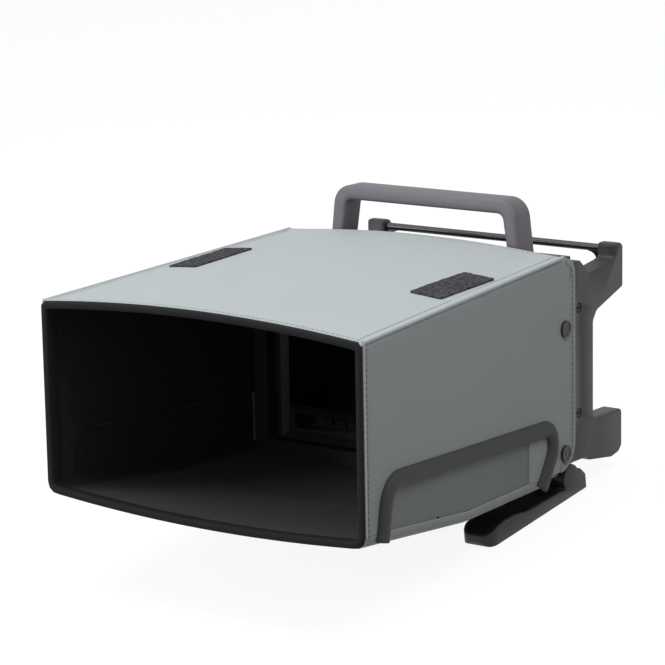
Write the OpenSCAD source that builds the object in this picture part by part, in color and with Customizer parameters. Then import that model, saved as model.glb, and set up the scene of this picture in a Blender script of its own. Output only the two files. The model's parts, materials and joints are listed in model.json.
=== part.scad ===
// Field monitor with a fabric sun hood, carrying handle, rear connector guard and tilt feet.
// Millimetres. +Z up, -Y is the side that the viewer looks in at, +X is the viewer's right.
// The head (everything but the feet) is drawn level and then leant back on its feet.

/* [Stance] */
// How far the head leans back on its feet
head_tilt = 7.5; // [5:0.5:10]
// Height of the feet's hinge above the table
hinge_height = 14.5; // [13:0.5:16]

/* [Housing] */
// Width of the front housing
housing_w = 228; // [224:1:230]
// Height of the front housing
housing_h = 146.5; // [145:0.5:149]
// Depth of the front housing
housing_d = 60; // [58:1:62]
// Wall of the front housing
housing_wall = 5; // [4.5:0.5:6]
// Width of the rear housing between the guard frames
rear_w = 190; // [184:1:194]
// Depth of the rear housing
rear_d = 26; // [26:1:32]
// Back wall of the rear housing
rear_wall = 2.5; // [2:0.5:3]
// Side, top and bottom walls of the rear housing, which hold the screws
boss_wall = 11; // [10.5:0.5:13]

/* [Display] */
// Width of the picture
picture_w = 188; // [176:1:190]
// Height of the picture
picture_h = 105; // [100:1:107]
// Thickness of the display window
window_t = 2; // [1.5:0.5:2.5]
// Height of the control strip below the picture
strip_h = 20; // [19:0.5:21]
// How deep the display and the controls lie in their bevelled frame
recess_d = 3.5; // [2.5:0.5:4.5]
// Width of the bevel round the display and the controls
bevel_w = 4.5; // [3:0.5:5]

/* [Hood] */
// Length of the hood's top, from mouth to rear edge
hood_l = 258; // [245:1:270]
// Width of the hood where it meets the housing
hood_rear_w = 240; // [239:1:243]
// Width of the hood's mouth
mouth_w = 268; // [258:1:280]
// Height of the hood's side at its rear
hood_rear_h = 161; // [160:0.5:163]
// Height of the mouth at its sides
mouth_h = 134; // [128:1:142]
// How far the mouth's lower edge is above the hood's rear lower edge
mouth_rise = 14; // [8:1:18]
// Thickness of the stiffened fabric
board_t = 3; // [2.5:0.25:3]
// Thickness of the felt lining
lining_t = 1; // [0.6:0.1:1.4]
// How far the top swells between its edges
top_crown = 6; // [3:0.5:8]
// How far the floor hangs between its edges
floor_crown = 5; // [2:0.5:6]
// Width of the piping round the hand opening
piping_w = 12.5; // [9:0.5:13]
// How far the piping stands off the side
piping_proud = 3.5; // [2:0.5:5]
// Gap round the hand opening's flap
flap_gap = 0.7; // [0.5:0.1:2]

/* [Handle] */
// Width of the handle over its legs at the base
handle_w = 166; // [150:1:176]
// Height of the handle above the front housing
handle_h = 43; // [38:1:50]
// Depth of the handle from front to back
handle_d = 21; // [18:1:22]
// Thickness of the handle's band
handle_t = 10.5; // [9:0.5:12]

/* [Guard] */
// Thickness of each guard frame
frame_t = 15; // [13:0.5:17]
// How far the guard reaches behind the rear housing
guard_reach = 48; // [42:1:52]
// Height of a guard arm
arm_h = 34; // [30:0.5:38]
// Thickness of the guard's cross bars
bar_d = 5.5; // [5:0.5:7]

/* [Feet] */
// Width of a foot
foot_w = 26; // [24:1:28]
// How far a foot reaches in front of its hinge
foot_reach = 107.5; // [95:0.5:112]
// Radius of a foot's hinge pin
pin_r = 3; // [2.5:0.25:3.5]
// Running clearance round a hinge pin
pin_gap = 0.05; // [0.03:0.01:0.1]

/* [Controls] */
// Travel of a button
button_travel = 1.5; // [1:0.25:2]
// Diameter of a picture knob
knob_d = 9; // [8:0.5:10]
// Gap round a button or knob
button_gap = 0.3; // [0.2:0.05:0.5]

/* [Hidden] */
$fn = 64;
eps = 0.01;

fit = 0.3;                                      // gap between parts that slide or drop in
wide = 400;                                     // longer than the whole object, for cuts right through

// Housing places, in the level head frame: y = 0 and z = 0 are the hood's rear top and rear lower edges
sleeve_t = 4;                                   // collar between the hood's top and the housing
face_y = -36;
housing_top = hood_rear_h - board_t - sleeve_t;
housing_z = housing_top - housing_h;
housing_rear = face_y + housing_d;
housing_r = 3;
back_wall = 3;
rear_housing_y = housing_rear + rear_d;
rear_housing_top = housing_top - 2;
rear_housing_z = housing_z + 1.5;
rear_housing_h = rear_housing_top - rear_housing_z;

// Screws
screw_r = 1.6;
screw_free_r = 1.8;
screw_head_r = 3;
screw_head_t = 2;
screw_bite = 4;

// Display, controls and the frame that they lie in
lip_h = 9;                                      // housing below the control strip
strip_z = housing_z + lip_h;
window_rim = 3;                                 // window beyond the picture at each side
window_w = picture_w + 2 * window_rim;
window_h = picture_h + window_rim;
window_z = strip_z + strip_h + 1;
picture_z = window_z + window_rim / 2;
recess_w = window_w + 1;
recess_h = window_z + window_h + 0.5 - strip_z;
panel_face = face_y + recess_d;
window_y = panel_face + 0.5;
front_wall = 6;                                 // wall behind the panel's face
wall_back_y = panel_face + front_wall;
strip_recess = 1;
strip_face = panel_face + strip_recess;
strip_w = recess_w - 1;

// Layers behind the front wall, each starting where the last one ends
panel_t = 5;
panel_rim = 3;
backlight_t = 6;
chassis_t = 1.5;
pcb_t = 1.6;
board_post_l = 8;
post_r = 3.5;
post_hole_r = 1.2;
backlight_y = wall_back_y + panel_t;
chassis_y = backlight_y + backlight_t;
board_y = chassis_y + chassis_t + board_post_l;
board_w = 150;
board_h = 92;
board_z = window_z + 8;
board_hole_x = board_w / 2 - 6;
board_hole_z = [board_z + 6, board_z + board_h - 6];
component_y = board_y + pcb_t;
chip_w = 24;
chip_t = 2.5;
chip_x = -30;
chip_z = board_z + 58;
sink_w = 30;
sink_base_t = 2;
sink_fins = 7;
fin_t = 1.2;
fin_h = 9;

// Controls, measured along the strip from the middle
speaker_w = 18;
strip_mid = strip_z + strip_h / 2;
control_board_back = 14;                        // behind the panel's face
control_board_y = panel_face + control_board_back;
control_board_x = 12;
control_board_w = strip_w - speaker_w - control_board_x;
control_board_in = 3;                           // from the strip's upper and lower edges
switch_w = 6;
switch_t = 2.5;
control_w = 8;
control_t = 3;                                  // depth of a knob's control on the board
control_gap = 0.2;
button_w = 8;
button_h = 5;
button_proud = 1.2;
flange_rim = 1.5;                               // a button's flange beyond its cap
button_pitch = 12;
input_x0 = -62;
menu_x0 = -8;
knob_x0 = 34;
knob_pitch = 14;
knob_proud = 4;
knob_l = 8;
knob_shaft_r = 2;
power_x = 90;
power_r = 4;
stem_r = 1.6;
lamp_x = -74;
lamp_r = 1.2;
speaker_x = -86;
speaker_hole_r = 0.8;
board_stud_x = [-17, 25];
board_stud_r = 2.5;
through = front_wall + 4;

// Housing screws, from the back into the front housing
housing_screw_in = 7;                           // from the rear housing's side
housing_screw_up = 12;                          // from its top and bottom
housing_screw_x = rear_w / 2 - housing_screw_in;
housing_screw_z = [rear_housing_z + housing_screw_up, rear_housing_top - housing_screw_up];

// Power supply board, standing on the rear housing's inner floor beside its side wall
power_board_w = 42;
power_board_d = 15;
power_board_gap = 1;
power_board_x = power_board_gap + power_board_w / 2 + boss_wall - rear_w / 2;
power_board_y = housing_rear + 2;
power_stand_w = 5;
power_stand_h = 4;
power_stand_in = 2.5;
transformer_w = 14;
transformer_h = 9;
capacitor_r = 4.5;
capacitor_h = 10;

// Connectors on the back; the plate keeps clear of the housing screws
plate_clear = 1;
plate_w = 2 * (housing_screw_x - screw_head_r - plate_clear);
plate_h = 38;
plate_t = 1.5;
plate_rim = 4;
plate_z = rear_housing_z + 8;
plate_screw_in = 3;
seat_gap = 0.1;                                 // round the sockets in their plate
dc_r = 9.5;
dc_flange = 26;
dc_flange_t = 2;
dc_x = plate_w / 2 - dc_flange / 2 - 3;
dc_depth = 10;                                  // behind the plate's face
dc_bore_r = 7.5;
dc_pin_r = 1;
dc_pin_l = 9;
dc_pin_ring = 3.6;
remote_w = 18;
remote_h = 10;
remote_rim = 3;
remote_rim_t = 1;
remote_depth = 8;
remote_wall = 2;
remote_x = dc_x - dc_flange / 2 - remote_rim - remote_w / 2 - 5;
jack_r = 6.35;
jack_flange_r = 7.5;
jack_flange_t = 1.5;
jack_depth = 5;
jack_l = 12.4;                                  // from the plate to the jack's tip
jack_barrel_r = 4.8;
jack_bore_r = 4;
jack_lug_r = 1;
jack_lug_l = 12;
jack_lug_y = 9.5;
jack_core_r = 2.4;
jack_core_y = 2;
jack_core_l = 8;
jack_pin_r = 0.6;
jack_count = 5;
jack_x0 = jack_flange_r + 6.5 - plate_w / 2;
jack_last_x = remote_x - remote_w / 2 - remote_rim - 8.5 - jack_flange_r;
jack_pitch = (jack_last_x - jack_x0) / (jack_count - 1);
jack_z = plate_z + plate_h / 2;

// Square of tapped holes on the back that takes a battery plate or a bracket
pattern = 75;
pattern_z = plate_z + plate_h + 42;
pattern_r = 2;
pattern_depth = 8;
pattern_boss_r = 5;

// Tripod thread under the rear housing
tripod_y = housing_rear + rear_d / 2;
bush_r = 6;
bush_l = 10;
bush_bore_r = 3.175;

// Handle
handle_y = 2;
handle_lean = 5;                                // each leg leans in by this much
handle_out_r = 15;
handle_in_r = 5;
handle_flange_t = 4;
handle_flange_w = 20;
handle_screw_x = handle_w / 2 - handle_t - handle_flange_w / 2;
handle_screw_in = 5;
handle_screw_y = [handle_y + handle_screw_in, handle_y + handle_d - handle_screw_in];

// Guard frames
frame_out = rear_w / 2 + frame_t;
frame_front = housing_rear + fit;
frame_rear = rear_housing_y + 7;
guard_rear = rear_housing_y + guard_reach;
arm_rear = guard_rear - 1.5;                    // the lower arms are a little shorter
frame_bottom = housing_z - 1;
arm_bottom = housing_z - 8;
arm_top = arm_bottom + arm_h;
horn_top = housing_top + 2.5;
horn_d = 11.5;
horn_h = 32.5;
saddle_z = housing_top - 13;
upper_arm_z = horn_top - horn_h;
guard_screw_y = housing_rear + rear_d / 2;
guard_screw_z = [arm_top + 8, upper_arm_z - 6];
bar_y = guard_rear - horn_d / 2;
upper_bar_z = horn_top - 5;
lower_bar_z = arm_bottom + 16;
bar_web = 10;
bar_web_t = 4;
bumper_h = 22;
bumper_z = [upper_arm_z + 4, arm_bottom + 7];
bumper_y = [guard_rear, arm_rear];
bumper_in = 2;
bumper_t = 3;
bumper_proud = 1.5;

// Feet and their hinges; the sole is level on the table
hinge_y = housing_rear + 3;
hinge_z = housing_z - 11.9;
knuckle_r = 10;
lug_w = 11;
lug_r = 8.5;
cheek_gap = 0.3;
foot_x = frame_out - foot_w / 2;
foot_rear = 19;                                 // how far a foot reaches behind its hinge
toe_h = 8.4;                                    // heights above the sole, from the tip back
ball_h = [13.2, 14.4, 13.3];
waist_h = 10.4;
arch_h = 9;
toe_r = 9;                                      // tip's corners seen from above
foot_rim = 2.5;                                 // width of the rim round the tread
tread_t = 1;
tread_deep = 0.4;
pad_t = 2;
pad_l = 18;
pad_in = 5;
pad_proud = 0.6;
sole_drop = hinge_height - pad_proud;

// Hood
mouth_y = -hood_l + 5;                          // where the panels end and the binding begins
binding_over = 0.6;
binding_in = lining_t + 1;
hood_side_rear = 16.5;                          // the sides reach behind the top's edge
floor_rear = -18;
rear_half = hood_rear_w / 2;
flare = (mouth_w / 2 - rear_half) / hood_l;     // growth of the half width per mm forward
top_fall = (hood_rear_h - mouth_h - mouth_rise) / hood_l;
sag_y = -130;                                   // the floor runs nearly level from the rear to here
sag_z = 0.5;
top_r = 3;
floor_r = 8;
arc_steps = 4;
crown_steps = 10;
collar_l = 10;                                  // collar in front of the housing's face
collar_lap = 7;                                 // collar over the edge of the housing's face
collar_rear = -2;
ear_rear = 12;                                  // the collar's ears at the sides reach back to here
ear_t = 6;
ear_z = [housing_z + 2, housing_top - 7];
lining_rear = face_y - collar_l - 0.2;
side_low_r = 20;
side_high_r = 11;
stud_y = 2;
stud_z = [20.5, 110];
stud_r = 3;
stud_cap_r = 6;
stud_cap_t = 2;
stud_bite = 2.6;
groove_h = 2 * stud_r + 1;
patch_l = 65;
patch_w = 25;
patch_t = 1.4;
patch_y = -112;
patch_in = 10;                                  // from the patch to the hood's edge

// Hand opening in each side: the middle line of its piping, as [y, z] points with corner radii
opening_line = [[-33, 0], [-16.5, 27], [-18, 43.5], [-hood_l + 26.5, 53], [-hood_l + 19.5, 10]];
opening_r = [0, 20, 11, 17, 0];
opening_grow = [[1, 0], [1, 0], [1, 1], [-1, 1], [-1, 0]];
opening_steps = 6;
opening_low = -30;
opening_rear = -48;                             // the opening itself ends here, clear of the collar
lining_gap = 2;
piping_sides = 6;                               // faces of the piping's round side
piping_end = 3;                                 // the piping ends this far above the floor's edge
flap_t = 2;
flap_up = floor_r + 1;                          // the flap hangs on a line this far above the floor's edge

// The whole object stands centred over the origin
function lean_y(y, z) = (y - hinge_y) * cos(head_tilt) + (z - hinge_z) * sin(head_tilt);
mouth_low = mouth_rise - floor_crown * (mouth_w / 2 - floor_r) / (rear_half - floor_r) - binding_over;
stand_y = -(lean_y(-hood_l, mouth_low) + lean_y(guard_rear + bumper_proud, bumper_z[0] + bumper_h)) / 2;

module lean() {
    translate([0, stand_y, hinge_height]) rotate([-head_tilt, 0, 0])
        translate([0, -hinge_y, -hinge_z]) children();
}

function arc(cx, cy, r, a0, a1, n) = [for (i = [0:n]) let (a = a0 + (a1 - a0) * i / n)
    [cx + r * cos(a), cy + r * sin(a)]];

module mirrored() {
    children();
    mirror([1, 0, 0]) children();
}

// A box whose middle in x, front in y and bottom in z are given
module block(w, d, h, x = 0, y = 0, z = 0) {
    translate([x - w / 2, y, z]) cube([w, d, h]);
}

// A box with its four long edges along Y rounded
module round_block(w, d, h, r, y = 0, z = 0) {
    translate([0, y + d, z]) rotate([90, 0, 0]) linear_extrude(d) {
        translate([-w / 2 + r, 0]) square([w - 2 * r, h]);
        translate([-w / 2, r]) square([w, h - 2 * r]);
        for (sx = [-1, 1], sz = [r, h - r]) translate([sx * (w / 2 - r), sz]) circle(r);
    }
}

module rod_y(r, l, x = 0, y = 0, z = 0) {
    translate([x, y + l, z]) rotate([90, 0, 0]) cylinder(r = r, h = l);
}

module rod_x(r, l, x = 0, y = 0, z = 0) {
    translate([x, y, z]) rotate([0, 90, 0]) cylinder(r = r, h = l);
}

// A side view of [y, z] points made w thick along X from x
module side_plate(w, x = 0) {
    translate([x, 0, 0]) rotate([90, 0, 90]) linear_extrude(w) children();
}

// A screw along +Y, from its tip to its head's face, with a cross recess
module screw(head_r, head_t, shank_r, l) {
    slot = head_r * 1.3;
    difference() {
        union() {
            rod_y(head_r, head_t, 0, l);
            rod_y(shank_r, l + eps, 0, 0);
        }
        block(slot, 1, head_r * 0.26, 0, l + head_t - 0.9, -head_r * 0.13);
        block(head_r * 0.26, 1, slot, 0, l + head_t - 0.9, -slot / 2);
    }
}

// ---------------------------------------------------------------- housing

module front_housing() {
    color([0.13, 0.13, 0.14]) difference() {
        round_block(housing_w, housing_d, housing_h, housing_r, face_y, housing_z);
        // hollow, and the opening that joins it to the rear housing
        block(housing_w - 2 * housing_wall, housing_rear - back_wall - wall_back_y,
              housing_h - 2 * housing_wall, 0, wall_back_y, housing_z + housing_wall);
        block(rear_w - 2 * boss_wall, 2 * back_wall, rear_housing_h - 2 * boss_wall,
              0, housing_rear - back_wall - 1, rear_housing_z + boss_wall);
        // bevelled frame round the display and the controls
        hull() {
            block(recess_w + 2 * bevel_w, eps, recess_h + 2 * bevel_w, 0, face_y - eps, strip_z - bevel_w);
            block(recess_w, eps, recess_h, 0, panel_face - eps, strip_z);
        }
        // window seat, and the picture opening behind it
        block(window_w + fit, window_t + 0.5 + eps, window_h + fit, 0, panel_face - eps, window_z - fit / 2);
        block(picture_w, through, picture_h, 0, panel_face, picture_z);
        block(strip_w, strip_recess + eps, strip_h - 1, 0, panel_face - eps, strip_z + 0.5);
        control_openings();
        // grooves that the hood's studs slide along, open at the face
        mirrored() for (z = stud_z)
            translate([housing_w / 2 - stud_bite - fit, face_y - eps, z - groove_h / 2])
                cube([stud_bite + 1, stud_y + stud_r + 1 - face_y, groove_h]);
        handle_holes(housing_top - housing_wall - 1, housing_wall + 2, screw_r);
        for (x = [-1, 1] * housing_screw_x, z = housing_screw_z)
            rod_y(screw_r, back_wall + 2, x, housing_rear - back_wall - 1, z);
    }
}

module control_openings() {
    y = panel_face - 1;
    for (i = [0:3]) button_hole(input_x0 + i * button_pitch);
    for (i = [0:2]) button_hole(menu_x0 + i * button_pitch);
    for (i = [0:3]) rod_y(knob_d / 2 + button_gap, through, knob_x0 + i * knob_pitch, y, strip_mid);
    rod_y(power_r + button_gap, through, power_x, y, strip_mid);
    rod_y(lamp_r, through, lamp_x, y, strip_mid);
    for (i = [-2:2], j = [-2:2])
        rod_y(speaker_hole_r, through, speaker_x + i * 3, y, strip_mid + j * 3);
}

module button_hole(x) {
    block(button_w + 2 * button_gap, through, button_h + 2 * button_gap, x, panel_face - 1,
          strip_mid - button_h / 2 - button_gap);
}

module rear_housing() {
    color([0.15, 0.15, 0.16]) difference() {
        union() {
            difference() {
                block(rear_w, rear_d, rear_housing_h, 0, housing_rear, rear_housing_z);
                block(rear_w - 2 * boss_wall, rear_d - rear_wall + eps, rear_housing_h - 2 * boss_wall, 0,
                      housing_rear - eps, rear_housing_z + boss_wall);
                // seat of the connector plate, open behind it
                block(plate_w - 2 * plate_rim, 10, plate_h - 2 * plate_rim, 0, rear_housing_y - 6,
                      plate_z + plate_rim);
                block(plate_w + fit, plate_t + eps, plate_h + fit, 0, rear_housing_y - plate_t,
                      plate_z - fit / 2);
                // cooling slots in the top and the back
                for (i = [-6:6])
                    block(5, 10, boss_wall + 2, i * 11, housing_rear + 8, rear_housing_top - boss_wall - 1);
                for (i = [-7:7]) block(4, 10, 16, i * 9, rear_housing_y - 6, pattern_z - 8);
            }
            for (x = [-1, 1] * pattern / 2, z = [-1, 1] * pattern / 2)
                rod_y(pattern_boss_r, pattern_depth + 1, x, rear_housing_y - pattern_depth - 2,
                      pattern_z + z);
        }
        for (x = [-1, 1] * pattern / 2, z = [-1, 1] * pattern / 2)
            rod_y(pattern_r, pattern_depth + eps, x, rear_housing_y - pattern_depth, pattern_z + z);
        for (x = [-1, 1] * housing_screw_x, z = housing_screw_z) {
            rod_y(screw_head_r + fit / 2, screw_head_t + 2, x, rear_housing_y - screw_head_t, z);
            rod_y(screw_free_r, rear_d + 2, x, housing_rear - 1, z);
        }
        mirrored() for (z = guard_screw_z) rod_x(screw_r, 9, rear_w / 2 - 8, guard_screw_y, z);
        translate([0, tripod_y, rear_housing_z - eps]) cylinder(r = bush_r, h = bush_l + eps);
    }
}

module display_window() {
    color([0.03, 0.03, 0.04]) block(window_w, window_t, window_h, 0, window_y, window_z);
}

module lcd_panel() {
    color([0.2, 0.2, 0.22])
        block(picture_w + 2 * panel_rim, panel_t, picture_h + 2 * panel_rim, 0, wall_back_y,
              picture_z - panel_rim);
}

module backlight_unit() {
    color([0.75, 0.75, 0.76]) difference() {
        block(picture_w + 2 * panel_rim, backlight_t, picture_h + 2 * panel_rim, 0, backlight_y,
              picture_z - panel_rim);
        for (i = [-3:3]) rod_y(2, 3, i * 26, chassis_y - 1, picture_z + picture_h / 2);
    }
}

// Sheet metal that holds the display between the housing's side walls, with posts for the main board
module panel_chassis() {
    color([0.62, 0.63, 0.64]) difference() {
        union() {
            block(housing_w - 2 * housing_wall, chassis_t, picture_h + 2 * panel_rim, 0, chassis_y,
                  picture_z - panel_rim);
            for (x = [-1, 1] * board_hole_x, z = board_hole_z)
                rod_y(post_r, board_post_l + eps, x, board_y - board_post_l - eps, z);
        }
        for (x = [-1, 1] * board_hole_x, z = board_hole_z)
            rod_y(post_hole_r, board_post_l + chassis_t + 2, x, chassis_y - 1, z);
    }
}

module main_board() {
    color([0.05, 0.28, 0.16]) difference() {
        block(board_w, pcb_t, board_h, 0, board_y, board_z);
        for (x = [-1, 1] * board_hole_x, z = board_hole_z) rod_y(post_hole_r, pcb_t + 2, x, board_y - 1, z);
    }
    color([0.08, 0.08, 0.09]) {
        block(chip_w, chip_t, chip_w, chip_x, component_y, chip_z - chip_w / 2);
        for (z = [34, 52]) block(16, 1.6, 12, 4, component_y, board_z + z);
        block(12, 1.6, 12, 34, component_y, board_z + 60);
        for (i = [0:3]) rod_y(4, 9, -52 + i * 11, component_y, board_z + 20);
        block(40, 5, 5, 40, component_y, board_z + 12);
    }
}

module heat_sink() {
    y = component_y + chip_t;
    z = chip_z - sink_w / 2;
    color([0.7, 0.7, 0.72]) {
        block(sink_w, sink_base_t, sink_w, chip_x, y, z);
        for (i = [0:sink_fins - 1])
            block(fin_t, fin_h + eps, sink_w, chip_x + (i / (sink_fins - 1) - 0.5) * (sink_w - fin_t),
                  y + sink_base_t - eps, z);
    }
}

// Stands on the rear housing's inner floor, on two feet
module power_board() {
    floor_z = rear_housing_z + boss_wall;
    x = power_board_x;
    y = power_board_y;
    top_z = floor_z + power_stand_h + pcb_t;
    stand_x = (power_board_w - power_stand_w) / 2 - power_stand_in;
    color([0.05, 0.28, 0.16])
        block(power_board_w, power_board_d, pcb_t, x, y, floor_z + power_stand_h);
    color([0.1, 0.1, 0.1]) {
        for (sx = [-1, 1]) block(power_stand_w, power_board_d, power_stand_h, x + sx * stand_x, y, floor_z);
        block(transformer_w, power_board_d - 4, transformer_h, x - power_board_w / 5, y + 2, top_z);
        translate([x + power_board_w / 4, y + power_board_d / 2, top_z])
            cylinder(r = capacitor_r, h = capacitor_h);
    }
}

// Carries the switches and the knobs' controls behind the control strip
module control_board() {
    color([0.05, 0.28, 0.16])
        block(control_board_w, pcb_t, strip_h - 2 * control_board_in, control_board_x, control_board_y,
              strip_z + control_board_in);
    color([0.08, 0.08, 0.09]) {
        for (i = [0:3]) switch_at(input_x0 + i * button_pitch);
        for (i = [0:2]) switch_at(menu_x0 + i * button_pitch);
        switch_at(power_x);
        for (i = [0:3])
            block(control_w, control_t, control_w, knob_x0 + i * knob_pitch, control_board_y - control_t,
                  strip_mid - control_w / 2);
        for (x = board_stud_x) rod_y(board_stud_r, control_board_y - wall_back_y, x, wall_back_y, strip_mid);
    }
}

module switch_at(x) {
    block(switch_w, switch_t, switch_w, x, control_board_y - switch_t, strip_mid - switch_w / 2);
}

module loudspeaker() {
    color([0.1, 0.1, 0.1]) difference() {
        union() {
            block(speaker_w, 3, speaker_w, speaker_x, wall_back_y, strip_mid - speaker_w / 2);
            rod_y(6, 5, speaker_x, wall_back_y + 3 - eps, strip_mid);
        }
        translate([speaker_x, wall_back_y + 2, strip_mid]) rotate([90, 0, 0])
            cylinder(r1 = 4, r2 = 7, h = 2 + eps);
    }
}

module status_lamp() {
    color([0.2, 0.75, 0.3]) rod_y(lamp_r, 5, lamp_x, strip_face, strip_mid);
}

// ---------------------------------------------------------------- sockets on the back

module connector_plate() {
    y = rear_housing_y - plate_t;
    color([0.2, 0.2, 0.21]) difference() {
        block(plate_w, plate_t, plate_h, 0, y, plate_z);
        for (i = [0:jack_count - 1])
            rod_y(jack_r + seat_gap, plate_t + 2, jack_x0 + i * jack_pitch, y - 1, jack_z);
        rod_y(dc_r + seat_gap, plate_t + 2, dc_x, y - 1, jack_z);
        block(remote_w + 2 * seat_gap, plate_t + 2, remote_h + 2 * seat_gap, remote_x, y - 1,
              jack_z - remote_h / 2 - seat_gap);
        plate_screw_places() rod_y(1.1, plate_t + 2, 0, -1, 0);
    }
}

module plate_screw_places() {
    for (x = [-1, 1] * (plate_w / 2 - plate_screw_in), z = [plate_screw_in, plate_h - plate_screw_in])
        translate([x, rear_housing_y - plate_t, plate_z + z]) children();
}

module video_jacks() {
    color([0.78, 0.78, 0.76]) for (i = [0:jack_count - 1])
        translate([jack_x0 + i * jack_pitch, rear_housing_y, jack_z]) {
            difference() {
                union() {
                    rod_y(jack_r, jack_depth + eps, 0, -jack_depth);
                    rod_y(jack_flange_r, jack_flange_t, 0, 0);
                    rod_y(jack_barrel_r, jack_l - jack_flange_t + eps, 0, jack_flange_t - eps);
                    rod_x(jack_lug_r, jack_lug_l, -jack_lug_l / 2, jack_lug_y, 0);
                }
                rod_y(jack_bore_r, jack_l, 0, jack_core_y + 1);
            }
            // insulator with the middle contact's hole
            difference() {
                rod_y(jack_core_r, jack_core_l, 0, jack_core_y);
                rod_y(jack_pin_r, jack_core_l, 0, 2 * jack_core_y);
            }
        }
}

module power_socket() {
    color([0.12, 0.12, 0.13]) translate([dc_x, rear_housing_y, jack_z]) {
        difference() {
            union() {
                rod_y(dc_r, dc_depth, 0, -dc_depth + eps);
                block(dc_flange, dc_flange_t, dc_flange, 0, 0, -dc_flange / 2);
            }
            rod_y(dc_bore_r, dc_depth + dc_flange_t, 0, dc_flange_t - dc_depth);
        }
        for (a = [45:90:315])
            rod_y(dc_pin_r, dc_pin_l, dc_pin_ring * cos(a), -dc_pin_l, dc_pin_ring * sin(a));
    }
}

module remote_socket() {
    color([0.7, 0.7, 0.7]) translate([remote_x, rear_housing_y, jack_z]) difference() {
        union() {
            block(remote_w, remote_depth + eps, remote_h, 0, -remote_depth, -remote_h / 2);
            block(remote_w + 2 * remote_rim, remote_rim_t, remote_h + remote_rim, 0, 0,
                  -(remote_h + remote_rim) / 2);
        }
        block(remote_w - 2 * remote_wall, remote_depth, remote_h - remote_rim, 0,
              remote_wall - remote_depth, -(remote_h - remote_rim) / 2);
    }
}

module housing_screws() {
    tip_y = housing_rear - back_wall;
    color([0.15, 0.15, 0.15]) {
        for (x = [-1, 1] * housing_screw_x, z = housing_screw_z)
            translate([x, tip_y, z])
                screw(screw_head_r, screw_head_t, screw_r, rear_housing_y - screw_head_t - tip_y);
        plate_screw_places() screw(2.2, 1.2, 1.1, plate_t);
    }
}

module tripod_bush() {
    color([0.72, 0.6, 0.35]) translate([0, tripod_y, rear_housing_z]) difference() {
        cylinder(r = bush_r, h = bush_l);
        translate([0, 0, -eps]) cylinder(r = bush_bore_r, h = bush_l - 2 + eps);
    }
}

// ---------------------------------------------------------------- handle

function band(half, top, lean_in, r) = concat(
    [[half, 0]],
    arc(half - lean_in - r, top - r, r, 0, 90, 8),
    arc(-(half - lean_in - r), top - r, r, 90, 180, 8),
    [[-half, 0]]);

module handle_holes(z, h, r) {
    mirrored() for (y = handle_screw_y) translate([handle_screw_x, y, z]) cylinder(r = r, h = h);
}

module carry_handle() {
    color([0.31, 0.3, 0.33]) difference() {
        union() {
            translate([0, handle_y + handle_d, housing_top]) rotate([90, 0, 0]) linear_extrude(handle_d)
                difference() {
                    polygon(band(handle_w / 2, handle_h, handle_lean, handle_out_r));
                    translate([0, -eps])
                        polygon(band(handle_w / 2 - handle_t, handle_h - handle_t, handle_lean, handle_in_r));
                }
            mirrored()
                block(handle_flange_w, handle_d, handle_flange_t, handle_screw_x + 1, handle_y, housing_top);
        }
        handle_holes(housing_top - 1, handle_flange_t + 2, screw_free_r);
    }
}

module handle_screws() {
    color([0.15, 0.15, 0.15]) mirrored() for (y = handle_screw_y)
        translate([handle_screw_x, y, housing_top - screw_bite]) rotate([90, 0, 0])
            screw(screw_head_r, screw_head_t, screw_r, screw_bite + handle_flange_t);
}

// ---------------------------------------------------------------- rear guard

// Side view of a guard frame, as [y, z] points
guard_outline = [
    [frame_front, frame_bottom], [frame_front, rear_housing_top],
    [frame_front + 15, rear_housing_top], [frame_front + 27, saddle_z],
    [guard_rear - horn_d - 6, saddle_z + 4], [guard_rear - horn_d, saddle_z + 5.5],
    [guard_rear - horn_d, horn_top - 1.5], [guard_rear - horn_d + 1.5, horn_top],
    [guard_rear - 3, horn_top], [guard_rear, horn_top - 3],
    [guard_rear, upper_arm_z], [frame_rear + 5, upper_arm_z - 12],
    [frame_rear, upper_arm_z - 19], [frame_rear, arm_top + 3],
    [frame_rear + 3, arm_top], [arm_rear - 2, arm_top],
    [arm_rear, arm_top - 2], [arm_rear, arm_bottom + 6],
    [arm_rear - 4, arm_bottom + 2], [arm_rear - 14, arm_bottom],
    [frame_rear - 4, arm_bottom + 4], [frame_rear - 8, frame_bottom]];

module guard_frame() {
    x0 = rear_w / 2;
    difference() {
        union() {
            side_plate(frame_t, x0) polygon(guard_outline);
            // lug that the foot hangs on
            rod_x(lug_r, lug_w, foot_x - lug_w / 2, hinge_y, hinge_z);
            translate([foot_x - lug_w / 2, hinge_y - lug_r, hinge_z])
                cube([lug_w, 2 * lug_r, frame_bottom - hinge_z + 1]);
        }
        rod_x(pin_r + pin_gap, lug_w + 2, foot_x - lug_w / 2 - 1, hinge_y, hinge_z);
        for (z = guard_screw_z) {
            rod_x(screw_free_r, frame_t + 2, x0 - 1, guard_screw_y, z);
            rod_x(screw_head_r + fit, screw_head_t + 2, frame_out - screw_head_t - 1, guard_screw_y, z);
        }
        bumper_blocks();
        // pocket in the inner face
        translate([x0 - eps, frame_rear - 13, arm_top + 8]) cube([5, 9, upper_arm_z - 30 - arm_top]);
    }
}

module guard_frame_right() {
    color([0.27, 0.26, 0.29]) guard_frame();
}

module guard_frame_left() {
    color([0.27, 0.26, 0.29]) mirror([1, 0, 0]) guard_frame();
}

// Round bar between the guard's arms, with a web at each end
module guard_bar(z) {
    half = rear_w / 2;
    r = bar_d / 2;
    rod_x(r, 2 * half, -half, bar_y, z);
    mirrored() translate([0, bar_y + bar_web_t / 2, z]) rotate([90, 0, 0]) linear_extrude(bar_web_t)
        difference() {
            translate([half - bar_web, -bar_web]) square([bar_web, bar_web]);
            translate([half - bar_web, -bar_web]) circle(bar_web - r);
        }
}

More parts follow.
